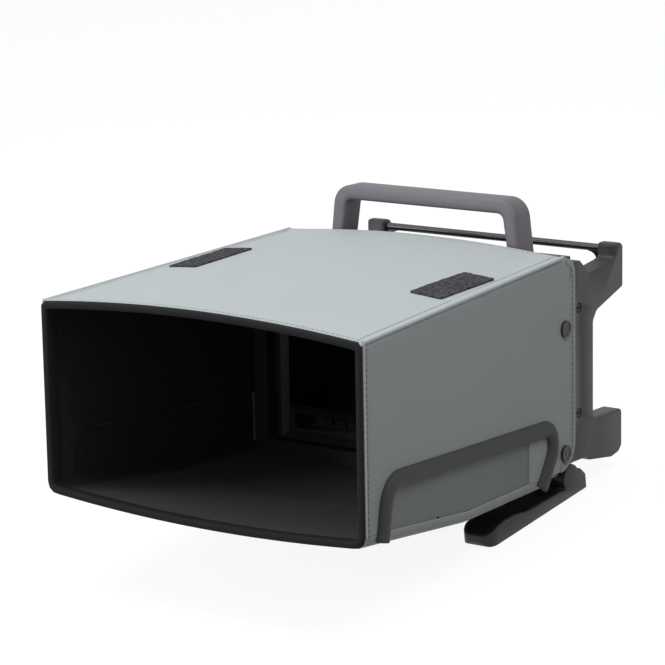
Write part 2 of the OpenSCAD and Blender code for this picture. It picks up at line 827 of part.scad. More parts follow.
module upper_guard_bar() {
    color([0.1, 0.1, 0.1]) guard_bar(upper_bar_z);
}

module lower_guard_bar() {
    color([0.1, 0.1, 0.1]) guard_bar(lower_bar_z);
}

module guard_screws() {
    color([0.15, 0.15, 0.15]) mirrored() for (z = guard_screw_z)
        translate([rear_w / 2 - 7, guard_screw_y, z]) rotate([0, 0, -90])
            screw(screw_head_r, screw_head_t, screw_r, 7 + frame_t - 1 - screw_head_t);
}

module bumper_blocks() {
    for (i = [0:1])
        translate([rear_w / 2 + bumper_in, bumper_y[i] + bumper_proud - bumper_t, bumper_z[i]])
            cube([frame_t - 2 * bumper_in, bumper_t, bumper_h]);
}

module bumper_pads() {
    color([0.05, 0.05, 0.05]) mirrored() bumper_blocks();
}

// ---------------------------------------------------------------- controls

// What a button has behind the wall: a flange that keeps it in, and a stem to its switch
module button_core(x) {
    flange_y = wall_back_y + fit;
    stem_end = control_board_y - switch_t - button_travel - control_gap;
    rod_y(stem_r, stem_end - flange_y, x, flange_y, strip_mid);
    children();
}

module push_button(x) {
    y = strip_face - button_proud;
    color([0.3, 0.3, 0.32]) button_core(x) {
        block(button_w, wall_back_y + fit + 1 - y, button_h, x, y, strip_mid - button_h / 2);
        block(button_w + 2 * flange_rim, 1, button_h + 2 * flange_rim, x, wall_back_y + fit,
              strip_mid - button_h / 2 - flange_rim);
    }
}

module input_button(i) {
    push_button(input_x0 + i * button_pitch);
}

module menu_button(i) {
    push_button(menu_x0 + i * button_pitch);
}

module power_button() {
    y = strip_face - button_proud;
    color([0.3, 0.3, 0.32]) button_core(power_x) {
        rod_y(power_r, wall_back_y + fit + 1 - y, power_x, y, strip_mid);
        rod_y(power_r + flange_rim, 1, power_x, wall_back_y + fit, strip_mid);
    }
}

module picture_knob(i) {
    x = knob_x0 + i * knob_pitch;
    y = strip_face - knob_proud;
    color([0.16, 0.16, 0.17]) {
        difference() {
            rod_y(knob_d / 2, knob_l, x, y, strip_mid);
            for (a = [0:30:330]) translate([x, 0, strip_mid]) rotate([0, a, 0])
                block(0.8, knob_l - 2, 1, 0, y - 1, knob_d / 2 - 0.5);
            block(0.8, 0.6, knob_d / 2, x, y - eps, strip_mid + 0.5);
        }
        rod_y(knob_shaft_r, control_board_y - control_t - control_gap - y - 3, x, y + 3, strip_mid);
    }
}

// ---------------------------------------------------------------- feet

// Puts a foot's own frame on its hinge, with the table level
module on_hinge(side) {
    translate([side * foot_x, stand_y, hinge_height]) children();
}

// The foot's top from the tip back, as [y, height above the sole]
foot_top = [
    [-foot_reach, toe_h], [-foot_reach + 10, ball_h[0]], [-foot_reach + 20, ball_h[1]],
    [-foot_reach + 35, ball_h[2]], [-foot_reach + 49, waist_h], [-knuckle_r - 6, arch_h]];

module foot_side() {
    translate([0, -sole_drop]) polygon(concat(
        [[foot_rear, 0], [foot_rear, sole_drop - 3], [foot_rear - 6, sole_drop + 3], [0, sole_drop + 4],
         [-knuckle_r, sole_drop - 6]],
        [for (i = [len(foot_top) - 1:-1:0]) foot_top[i]],
        [[-foot_reach, 3], [-foot_reach + 3, 0]]));
}

// The foot seen from above, drawn in by inset
module foot_plan(inset) {
    w = foot_w - 2 * inset;
    r = toe_r - inset;
    tip = -foot_reach + inset;
    translate([0, 0, -2 * hinge_height]) linear_extrude(4 * hinge_height) {
        translate([-w / 2, tip + r]) square([w, foot_reach + foot_rear - r - inset]);
        translate([-w / 2 + r, tip]) square([w - 2 * r, 2 * r]);
        for (sx = [-1, 1]) translate([sx * (w / 2 - r), tip + r]) circle(r);
    }
}

module foot_body() {
    difference() {
        intersection() {
            side_plate(foot_w, -foot_w / 2) {
                foot_side();
                circle(knuckle_r);
            }
            foot_plan(0);
        }
        // fork round the guard frame's lug
        translate([-lug_w / 2 - cheek_gap, -knuckle_r - 3, -knuckle_r])
            cube([lug_w + 2 * cheek_gap, 2 * knuckle_r + foot_rear, 4 * knuckle_r]);
        rod_x(pin_r, foot_w - 2, -foot_w / 2 - 1, 0, 0);
        tread(tread_t + tread_deep, 8);
        foot_pads();
    }
}

// Dark rubber let into the foot's top; it starts deep below the surface and is t thick
module tread(deep, t) {
    n = len(foot_top);
    intersection() {
        side_plate(foot_w, -foot_w / 2) translate([0, -sole_drop - deep]) polygon(concat(
            [for (p = foot_top) p], [for (i = [n - 1:-1:0]) foot_top[i] + [0, t]]));
        foot_plan(foot_rim);
    }
}

module foot_pads() {
    w = foot_w - 2 * pad_in;
    for (y = [-foot_reach + toe_r + 1, foot_rear - pad_l - 2])
        translate([-w / 2, y, -hinge_height]) cube([w, pad_l, pad_t]);
}

module foot_right() {
    color([0.22, 0.22, 0.23]) on_hinge(1) foot_body();
}

module foot_left() {
    color([0.22, 0.22, 0.23]) on_hinge(-1) mirror([1, 0, 0]) foot_body();
}

module hinge_pin_right() {
    color([0.6, 0.6, 0.62]) on_hinge(1) rod_x(pin_r, foot_w - 3, -foot_w / 2, 0, 0);
}

module hinge_pin_left() {
    color([0.6, 0.6, 0.62]) on_hinge(-1) mirror([1, 0, 0]) rod_x(pin_r, foot_w - 3, -foot_w / 2, 0, 0);
}

module foot_pads_right() {
    color([0.06, 0.06, 0.06]) on_hinge(1) foot_pads();
}

module foot_pads_left() {
    color([0.06, 0.06, 0.06]) on_hinge(-1) foot_pads();
}

module foot_tread_right() {
    color([0.03, 0.03, 0.03]) on_hinge(1) tread(tread_t + tread_deep, tread_t);
}

module foot_tread_left() {
    color([0.03, 0.03, 0.03]) on_hinge(-1) tread(tread_t + tread_deep, tread_t);
}

// ---------------------------------------------------------------- hood

function half_at(y) = rear_half - flare * y;
function top_at(y) = hood_rear_h + top_fall * y;
function floor_at(y) = y < sag_y ? sag_z + (mouth_rise - sag_z) * (sag_y - y) / (sag_y + hood_l)
                                 : sag_z * y / sag_y;

// Cross-section of the hood at y as [x, z] points, moved in by inset, counter-clockwise seen from the front.
// The crowns grow with the width, so that every strip of the skin is flat.
function hood_section(y, inset) = let (
    w = half_at(y) - inset, zt = top_at(y) - inset, zb = floor_at(y) + inset,
    rt = max(top_r - inset, 0.4), rb = max(floor_r - inset, 0.6),
    ct = top_crown * (w - rt) / (rear_half - top_r), cb = floor_crown * (w - rb) / (rear_half - floor_r))
    concat(
        arc(w - rb, zb + rb, rb, -90, 0, arc_steps),
        arc(w - rt, zt - rt, rt, 0, 90, arc_steps),
        [for (i = [1:crown_steps - 1]) let (u = 1 - 2 * i / crown_steps)
            [u * (w - rt), zt + ct * (1 - u * u)]],
        arc(-w + rt, zt - rt, rt, 90, 180, arc_steps),
        arc(-w + rb, zb + rb, rb, 180, 270, arc_steps),
        [for (i = [1:crown_steps - 1]) let (u = -1 + 2 * i / crown_steps)
            [u * (w - rb), zb - cb * (1 - u * u)]]);

// Solid inside the hood's outer skin, moved in by inset, from y0 forward to y1
module hood_space(inset, y0, y1) {
    ys = y0 > sag_y && y1 < sag_y ? [y0, sag_y, y1] : [y0, y1];
    rings = [for (y = ys) hood_section(y, inset)];
    n = len(rings[0]);
    last = (len(ys) - 1) * n;
    polyhedron(
        points = [for (k = [0:len(ys) - 1], p = rings[k]) [p[0], ys[k], p[1]]],
        faces = concat(
            [[for (i = [0:n - 1]) i]], [[for (i = [n - 1:-1:0]) last + i]],
            [for (k = [0:len(ys) - 2], i = [0:n - 1]) let (a = k * n + i, b = k * n + (i + 1) % n)
                [a, a + n, b + n, b]]));
}

module hood_shell(outer, inner, y0, y1) {
    difference() {
        hood_space(outer, y0, y1);
        hood_space(inner, y0 + 1, y1 - 1);
    }
}

// Everything above the line where the top meets the sides
module above_seam() {
    side_plate(wide, -wide / 2) polygon([
        [40, top_at(40) - top_r], [-wide, top_at(-wide) - top_r], [-wide, wide], [40, wide]]);
}

// Side view of everything below a line that runs up above the floor's edge
module below_line(up) {
    polygon([
        [40, floor_at(40) + up], [sag_y, sag_z + up], [-wide, floor_at(-wide) + up],
        [-wide, -wide], [40, -wide]]);
}

module hood_top() {
    color([0.66, 0.7, 0.71]) intersection() {
        hood_shell(0, board_t, 0, mouth_y);
        above_seam();
    }
}

module hood_floor() {
    color([0.35, 0.37, 0.38]) intersection() {
        hood_shell(0, board_t, floor_rear, mouth_y);
        side_plate(wide, -wide / 2) below_line(floor_r);
    }
}

function unit(v) = v / norm(v);

// Points of a rounded corner at b, on the way from a to c
function corner(a, b, c, r, n) = let (
    u = unit(a - b), v = unit(c - b), half = acos(u * v) / 2, o = b + unit(u + v) * r / sin(half),
    p = b + u * r / tan(half) - o, q = b + v * r / tan(half) - o,
    a0 = atan2(p[1], p[0]), turn = (atan2(q[1], q[0]) - a0 + 540) % 360 - 180)
    [for (i = [0:n]) o + r * [cos(a0 + turn * i / n), sin(a0 + turn * i / n)]];

// Middle line of the piping, grown outwards by g
function opening_points(g) = let (
    last = len(opening_line) - 1,
    p = [for (i = [0:last]) opening_line[i] + g * opening_grow[i]])
    concat([p[0]], [for (i = [1:last - 1])
               each corner(p[i - 1], p[i], p[i + 1], opening_r[i] + g, opening_steps)], [p[last]]);

// Side view of the hand opening, grown by g
module opening_shape(g) {
    p = opening_points(g);
    last = len(p) - 1;
    intersection() {
        polygon(concat([[p[0][0], opening_low]], p, [[p[last][0], opening_low]]));
        translate([opening_rear + g - wide, -wide / 2]) square(wide);
    }
}

// Flat wall of the right side, cut to the side view given; outer and inner count in from the hood's skin
module side_wall(outer, inner) {
    intersection() {
        side_plate(wide) children();
        translate([0, 0, -wide / 2]) linear_extrude(wide) polygon([
            [half_at(40) - inner, 40], [half_at(40) - outer, 40],
            [half_at(-wide) - outer, -wide], [half_at(-wide) - inner, -wide]]);
    }
}

module side_outline() {
    top_z = top_at(hood_side_rear) - top_r;
    low_z = floor_at(hood_side_rear) + floor_r;
    top_front = [mouth_y, top_at(mouth_y) - top_r];
    polygon(concat(
        [top_front],
        corner(top_front, [hood_side_rear, top_z], [hood_side_rear, low_z], side_high_r, 2 * opening_steps),
        corner([hood_side_rear, top_z], [hood_side_rear, low_z], [sag_y, sag_z + floor_r], side_low_r,
               2 * opening_steps),
        [[sag_y, sag_z + floor_r], [mouth_y, floor_at(mouth_y) + floor_r]]));
}

module hood_side() {
    color([0.42, 0.45, 0.46]) difference() {
        side_wall(0, board_t) difference() {
            side_outline();
            opening_shape(0);
        }
        stud_holes();
    }
}

module stud_holes() {
    mirrored() for (z = stud_z) rod_x(stud_r, 30, rear_half - 20, stud_y, z);
}

module hood_side_right() {
    hood_side();
}

module hood_side_left() {
    mirror([1, 0, 0]) hood_side();
}

module hood_lining() {
    color([0.05, 0.05, 0.05]) difference() {
        hood_shell(board_t, board_t + lining_t, lining_rear, mouth_y + eps);
        side_plate(wide, -wide / 2) difference() {
            opening_shape(lining_gap);
            below_line(flap_up - lining_gap);
        }
    }
}

// Stiff plastic frame inside the hood's rear that seats round the front housing
module hood_collar() {
    color([0.09, 0.09, 0.09]) difference() {
        hood_space(board_t, ear_rear, face_y - collar_l);
        // only the ears at the sides go behind collar_rear
        block(housing_w - 2 * ear_t, wide, wide, 0, collar_rear, -wide / 2);
        block(wide, wide, wide, 0, collar_rear, ear_z[1]);
        block(wide, wide, wide, 0, collar_rear, ear_z[0] - wide);
        round_block(housing_w + 2 * fit, housing_d, housing_h + 2 * fit, housing_r, face_y - fit,
                    housing_z - fit);
        round_block(housing_w - 2 * collar_lap, 2 * collar_l, housing_h - 8, housing_r + 1,
                    face_y - collar_l - 1, housing_z + 4);
        stud_holes();
    }
}

module mouth_binding() {
    color([0.3, 0.32, 0.33]) difference() {
        hood_space(-binding_over, mouth_y, -hood_l);
        hood_space(board_t + binding_in, mouth_y + 1, -hood_l - 1);
    }
}

// Half-round piping along its middle line, flat on the hood's side, from floor edge to floor edge
module opening_piping() {
    p = opening_points(0);
    last = len(p) - 1;
    path = concat([[p[0][0], floor_at(p[0][0]) + piping_end]], [for (i = [1:last - 1]) p[i]],
                  [[p[last][0], floor_at(p[last][0]) + piping_end]]);
    n = piping_sides + 1;
    points = [for (i = [0:last]) let (
        t = unit(path[min(i + 1, last)] - path[max(i - 1, 0)]), o = path[i])
        for (k = [0:piping_sides]) let (
            a = 180 * k / piping_sides, side = cos(a) * piping_w / 2, y = o[0] - t[1] * side)
            [half_at(y) + sin(a) * piping_proud, y, o[1] + t[0] * side]];
    color([0.12, 0.13, 0.13]) polyhedron(points = points, faces = concat(
        [[for (k = [n - 1:-1:0]) k]], [[for (k = [0:n - 1]) last * n + k]],
        [for (i = [0:last - 1], k = [0:n - 1], f = [0:1]) let (a = i * n + k, b = i * n + (k + 1) % n)
            f == 0 ? [a, b, a + n] : [b, b + n, a + n]]));
}

module opening_piping_right() {
    opening_piping();
}

module opening_piping_left() {
    mirror([1, 0, 0]) opening_piping();
}

// Studs: a flat cap outside, a shank through side and collar, and a tip in the housing's groove
module hood_studs() {
    tip_x = housing_w / 2 - stud_bite;
    cap_x = half_at(stud_y - stud_cap_r);
    color([0.1, 0.1, 0.1]) mirrored() for (z = stud_z) {
        rod_x(stud_r, cap_x - tip_x + 1, tip_x, stud_y, z);
        rod_x(stud_cap_r, stud_cap_t, cap_x, stud_y, z);
    }
}

module hook_patches() {
    color([0.16, 0.16, 0.17]) intersection() {
        hood_shell(-patch_t, 0, 0, -hood_l);
        mirrored() block(patch_w, patch_l, wide, half_at(patch_y) - patch_in - patch_w / 2,
                         patch_y - patch_l / 2, hood_rear_h / 2);
    }
}

module access_flap() {
    color([0.42, 0.45, 0.46]) side_wall(board_t - flap_t, board_t) difference() {
        opening_shape(-flap_gap);
        below_line(flap_up);
    }
}

module access_flap_right() {
    access_flap();
}

module access_flap_left() {
    mirror([1, 0, 0]) access_flap();
}

// ---------------------------------------------------------------- assembly

lean() front_housing();
lean() rear_housing();
lean() display_window();
lean() lcd_panel();
lean() backlight_unit();
lean() panel_chassis();
lean() main_board();
lean() power_board();
lean() control_board();
lean() heat_sink();
lean() loudspeaker();
lean() status_lamp();
lean() connector_plate();
lean() video_jacks();
lean() power_socket();
lean() remote_socket();
lean() housing_screws();
lean() tripod_bush();
lean() carry_handle();
lean() handle_screws();
lean() guard_frame_left();
lean() guard_frame_right();
lean() upper_guard_bar();
lean() lower_guard_bar();
lean() guard_screws();
lean() bumper_pads();
lean() power_button();
lean() input_button(0);  // input_button_1
lean() input_button(1);  // input_button_2
lean() input_button(2);  // input_button_3
lean() input_button(3);  // input_button_4
lean() menu_button(0);  // menu_button_up
lean() menu_button(1);  // menu_button_down
lean() menu_button(2);  // menu_button_enter
lean() picture_knob(0);  // brightness_knob
lean() picture_knob(1);  // contrast_knob
lean() picture_knob(2);  // chroma_knob
lean() picture_knob(3);  // volume_knob
foot_left();
foot_right();
hinge_pin_left();
hinge_pin_right();
foot_pads_left();
foot_pads_right();
foot_tread_left();
foot_tread_right();
lean() hood_top();
lean() hood_floor();
lean() hood_side_left();
lean() hood_side_right();
lean() hood_lining();
lean() hood_collar();
lean() mouth_binding();
lean() opening_piping_left();
lean() opening_piping_right();
lean() hood_studs();
lean() hook_patches();
lean() access_flap_left();
lean() access_flap_right();
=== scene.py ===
"""Looks of a field monitor with a fabric sun hood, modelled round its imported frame.

The hood, the handle and the small trim are modelled here. Moulded parts are eased copies of the frame's
nodes. Shapes are worked out in millimetres in the level head, as if it stood upright, and then leant onto
their place. In the head, y = 0 is the rear edge of the hood's top, z = 0 is the rear lower corner of its
sides, and -y is the viewer's side.
"""

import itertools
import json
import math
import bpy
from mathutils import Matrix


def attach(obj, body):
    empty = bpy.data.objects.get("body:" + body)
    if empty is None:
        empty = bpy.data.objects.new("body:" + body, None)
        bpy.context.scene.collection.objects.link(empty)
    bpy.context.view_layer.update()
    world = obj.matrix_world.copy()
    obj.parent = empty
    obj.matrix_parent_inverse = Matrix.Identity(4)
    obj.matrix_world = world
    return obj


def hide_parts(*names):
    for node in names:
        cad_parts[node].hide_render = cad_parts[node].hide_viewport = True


bl_info = {
    "name": "Field Monitor with Sun Hood",
    "version": (1, 0, 0),
    "blender": (4, 5, 0),
    "location": "3D View > Sidebar > Field Monitor",
    "description": "Builds the cloth hood, the moulded parts and the studio of a field monitor",
    "category": "Object",
}

import bmesh
import bpy
from bpy.props import FloatProperty, FloatVectorProperty, PointerProperty
from mathutils import Matrix, Vector, noise

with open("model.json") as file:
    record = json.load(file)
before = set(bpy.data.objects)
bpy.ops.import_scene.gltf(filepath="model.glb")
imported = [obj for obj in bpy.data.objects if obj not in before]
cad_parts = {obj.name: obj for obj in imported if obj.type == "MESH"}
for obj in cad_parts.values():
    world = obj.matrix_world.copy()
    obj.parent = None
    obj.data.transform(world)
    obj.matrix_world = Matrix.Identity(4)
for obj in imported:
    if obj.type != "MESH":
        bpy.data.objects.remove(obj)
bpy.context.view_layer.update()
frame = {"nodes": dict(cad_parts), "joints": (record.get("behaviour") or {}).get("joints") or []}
JOINTS = {joint["name"]: joint for joint in frame["joints"]}

MM = 0.001

# The feet's hinge in the level head, and the turn and shift that lean the head onto it
HINGE_Y, HINGE_Z = 27, -4.4
SLIDE = JOINTS["hood_slide"]["axis"]
TILT = math.atan2(SLIDE[2], -SLIDE[1])
HINGE = JOINTS["foot_right_hinge"]["pos_m"]
LEAN = (Matrix.Translation((0, HINGE[1], HINGE[2])) @ Matrix.Rotation(-TILT, 4, "X")
        @ Matrix.Translation((0, -HINGE_Y * MM, -HINGE_Z * MM)) @ Matrix.Scale(MM, 4))


# ---------------------------------------------------------------- sizes and colours

class HoodSizes(bpy.types.PropertyGroup):
    """Sizes of the cloth hood"""
    length: FloatProperty(name="Length", description="Top's length from mouth to rear edge",
                          default=0.258, unit="LENGTH")
    rear_width: FloatProperty(name="Rear width", description="Hood's width at the housing",
                              default=0.240, unit="LENGTH")
    mouth_width: FloatProperty(name="Mouth width", description="Hood's width at the mouth",
                               default=0.268, unit="LENGTH")
    rear_height: FloatProperty(name="Rear height", description="Height of the side at its rear",
                               default=0.161, unit="LENGTH")
    mouth_height: FloatProperty(name="Mouth height", description="Height of the mouth at its sides",
                                default=0.134, unit="LENGTH")
    mouth_rise: FloatProperty(name="Mouth rise", description="Mouth's lower edge above the rear one",
                              default=0.014, unit="LENGTH")
    board: FloatProperty(name="Board", description="Thickness of the stiffened cloth",
                         default=0.003, unit="LENGTH")
    top_crown: FloatProperty(name="Top crown", description="How far the top swells",
                             default=0.006, unit="LENGTH")
    floor_crown: FloatProperty(name="Floor crown", description="How far the floor hangs",
                               default=0.005, unit="LENGTH")
    stitch: FloatProperty(name="Stitch", description="Distance from stitch to stitch",
                          default=0.004, unit="LENGTH")


class Finishes(bpy.types.PropertyGroup):
    """Colours of the cloths and plastics"""
    top_cloth: FloatVectorProperty(name="Top cloth", description="Coated cloth of the hood's top",
                                   default=(0.365, 0.40, 0.415), subtype="COLOR", size=3, min=0, max=1)
    # The sides' cloth is the top's fabric painted darker: painted shade on the sides, the floor and the rear
    # hems.
    side_cloth: FloatVectorProperty(name="Side cloth", description="Coated cloth of the sides",
                                    default=(0.225, 0.245, 0.245), subtype="COLOR", size=3, min=0, max=1)
    felt: FloatVectorProperty(name="Felt", description="Lining inside the hood",
                              default=(0.016, 0.016, 0.0165), subtype="COLOR", size=3, min=0, max=1)
    tape: FloatVectorProperty(name="Tape", description="Tape round the mouth and the piping",
                              default=(0.016, 0.0165, 0.017), subtype="COLOR", size=3, min=0, max=1)
    handle: FloatVectorProperty(name="Handle", description="Carrying handle",
                                default=(0.115, 0.108, 0.125), subtype="COLOR", size=3, min=0, max=1)
    guard: FloatVectorProperty(name="Guard", description="Rear guard frames and housings",
                               default=(0.028, 0.027, 0.031), subtype="COLOR", size=3, min=0, max=1)
    foot: FloatVectorProperty(name="Foot", description="Feet",
                              default=(0.02, 0.02, 0.021), subtype="COLOR", size=3, min=0, max=1)


class Studio(bpy.types.PropertyGroup):
    """Camera and light"""
    lens: FloatProperty(name="Lens", description="Focal length on a 36 mm sensor in millimetres",
                        default=155.23)
    key: FloatProperty(name="Key light", description="Overhead light", default=10.2, unit="POWER")
    fill: FloatProperty(name="Fill light", description="Light from the front left", default=16.0,
                        unit="POWER")
    side: FloatProperty(name="Side light", description="Light from the upper right", default=3.2,
                        unit="POWER")
    ambient: FloatProperty(name="Ambient", description="Light from all round", default=0.38)


# ---------------------------------------------------------------- shader maths

class Socket:
    """A shader value with the usual arithmetic; numbers on either side become Math inputs."""

    def __init__(self, finish, output):
        self.finish, self.output = finish, output

    def maths(self, operation, *others):
        return self.finish.node("ShaderNodeMath", {"operation": operation}, self, *others)

    def __add__(self, other):
        return self.maths("ADD", other)

    def __sub__(self, other):
        return self.maths("SUBTRACT", other)

    def __rsub__(self, other):
        return self.finish.node("ShaderNodeMath", {"operation": "SUBTRACT"}, other, self)

    def __mul__(self, other):
        return self.maths("MULTIPLY", other)

    def __gt__(self, other):
        return self.maths("GREATER_THAN", other)

    __radd__ = __add__
    __rmul__ = __mul__

    def sin(self):
        return self.maths("SINE")

    def abs(self):
        return self.maths("ABSOLUTE")


class Finish:
    """A procedural material under construction."""

    def __init__(self, name, color=(0.5, 0.5, 0.5), roughness=0.6, **constants):
        self.material = bpy.data.materials.new(name)
        self.material.use_nodes = True
        self.tree = self.material.node_tree
        self.shader = self.tree.nodes["Principled BSDF"]
        self.coords = self.tree.nodes.new("ShaderNodeTexCoord")
        self.color = tuple(color)
        self.set("Base Color", self.color)
        self.set("Roughness", roughness)
        for key, value in constants.items():
            self.set(key.replace("_", " ").title().replace("Ior", "IOR"), value)

    def set(self, name, value):
        self.join(value, self.shader.inputs[name])

    def join(self, value, socket):
        if isinstance(value, Socket):
            self.tree.links.new(value.output, socket)
        elif isinstance(value, (tuple, list)) and len(value) == 3 and socket.type == "RGBA":
            socket.default_value = (*value, 1)
        else:
            socket.default_value = value

    def node(self, kind, settings, *inputs, **named):
        """A new node: its settings are made first, then its inputs in order, then those named."""
        made = self.tree.nodes.new(kind)
        for name, value in settings.items():
            setattr(made, name, value)
        for socket, value in zip(made.inputs, inputs):
            if value is not None:
                self.join(value, socket)
        for name, value in named.items():
            self.join(value, made.inputs[name.replace("_", " ").title()])
        return Socket(self, made.outputs[0])

    def object_place(self):
        return Socket(self, self.coords.outputs["Object"])

    def noise(self, scale, detail=3.0, roughness=0.5, place=None):
        return self.node("ShaderNodeTexNoise", {}, place or self.object_place(), None, scale, detail,
                         roughness)

    def mix(self, factor, a, b):
        made = self.tree.nodes.new("ShaderNodeMix")
        made.data_type = "RGBA"
        for name, value in (("Factor_Float", factor), ("A_Color", a), ("B_Color", b)):
            self.join(value, next(s for s in made.inputs if s.identifier == name))
        return Socket(self, next(s for s in made.outputs if s.identifier == "Result_Color"))

    def shade(self, factor, dark, light):
        """The base colour from dark to light times itself as the factor goes from 0 to 1."""
        self.set("Base Color", self.mix(factor, tuple(c * dark for c in self.color),
                                        tuple(min(1, c * light) for c in self.color)))

    def bump(self, height, distance, strength=1.0, normal=None):
        made = self.node("ShaderNodeBump", {}, Strength=strength, Distance=distance, Height=height)
        if normal is not None:
            self.join(normal, made.output.node.inputs["Normal"])
        return made


def plastic(name, color, roughness=0.45, grain=0.00004, grain_scale=2600, **constants):
    """Moulded plastic: spark-eroded grain, faint cloudiness and handling marks."""
    made = Finish(name, color, roughness, **constants)
    fine = made.noise(grain_scale, 2.0)
    cloud = made.noise(24, 4.0, 0.6)
    made.shade(cloud * 0.7 + fine * 0.3, 0.86, 1.12)
    made.set("Roughness", cloud * 0.22 + (roughness - 0.1))
    made.set("Normal", made.bump(fine, grain, 0.6))
    return made.material


def metal(name, color, roughness=0.3, along="X", **constants):
    """Bare or plated metal with drawn lines along one axis."""
    made = Finish(name, color, roughness, metallic=1.0, **constants)
    stretch = {"X": (40, 2400, 2400), "Y": (2400, 40, 2400), "Z": (2400, 2400, 40)}[along]
    place = made.node("ShaderNodeMapping", {}, made.object_place(), Scale=stretch)
    lines = made.noise(1.0, 2.0, 0.5, place)
    cloud = made.noise(60, 3.0)
    made.shade(cloud, 0.85, 1.08)
    made.set("Roughness", lines * 0.18 + (roughness - 0.08))
    made.set("Normal", made.bump(lines, 0.00001, 0.4))
    return made.material


def cloth(name, color, roughness=0.62, thread=0.00055, relief=0.00007, mottle=0.1, **constants):
    """Coated woven cloth: plain weave on the piece's own map in metres, slightly uneven dye and soil."""
    made = Finish(name, color, roughness, **constants)
    uv = Socket(made, made.coords.outputs["UV"])
    split = made.node("ShaderNodeSeparateXYZ", {}, uv)
    across = Socket(made, split.output.node.outputs["X"]) * (math.pi / thread)
    along = Socket(made, split.output.node.outputs["Y"]) * (math.pi / thread)
    checks = (across * 0.5).sin() * (along * 0.5).sin() > 0
    weave = checks * across.sin().abs() + (1 - checks) * along.sin().abs()
    slub = made.noise(900, 3.0, 0.6)
    patchy = made.noise(18, 5.0, 0.55)
    tone = weave * 0.25 + slub * 0.25 + patchy * 0.5
    made.shade(tone, 1 - mottle, 1 + mottle)
    made.set("Roughness", patchy * 0.16 + (roughness - 0.08))
    grain = made.bump(weave, relief, 0.5)
    made.set("Normal", made.bump(slub, relief * 1.5, 0.4, grain))
    return made.material


def felt(name, color):
    """Dull napped lining."""
    made = Finish(name, color, 0.95, sheen_weight=0.1, sheen_roughness=0.6, specular_ior_level=0.1)
    nap = made.noise(1500, 4.0, 0.7)
    brushed = made.noise(30, 4.0, 0.6)
    made.shade(nap * 0.5 + brushed * 0.5, 0.6, 1.6)
    made.set("Normal", made.bump(nap, 0.00025, 0.6))
    return made.material


def hook_pile(name, color):
    """Rows of stiff hooks, seen as dark speckle."""
    made = Finish(name, color, 0.85, specular_ior_level=0.15)
    cells = made.node("ShaderNodeTexVoronoi", {"feature": "F1"}, made.object_place(), None, 430.0)
    tufts = made.noise(300, 3.0, 0.6)
    made.shade(cells * 1.1 + tufts * 0.9 - 0.45, 0.2, 4.2)
    made.set("Normal", made.bump(cells, 0.0012, 0.9))
    return made.material


def glass_black(name):
    """Dark anti-glare glass with faint smears."""
    made = Finish(name, (0.006, 0.006, 0.008), 0.09, coat_weight=0.4, coat_roughness=0.05)
    smear = made.noise(14, 3.0, 0.6)
    made.set("Roughness", smear * 0.09 + 0.05)
    return made.material


def board_green(name):
    """Green circuit board with a pattern of tracks."""
    made = Finish(name, (0.012, 0.09, 0.04), 0.4)
    tracks = made.node("ShaderNodeTexBrick", {}, made.object_place(), (0.02, 0.13, 0.06), (0.01, 0.08, 0.04),
                       (0.3, 0.25, 0.1), 260.0)
    made.set("Base Color", made.mix(0.8, made.color, tracks))
    return made.material


MATERIALS = {}


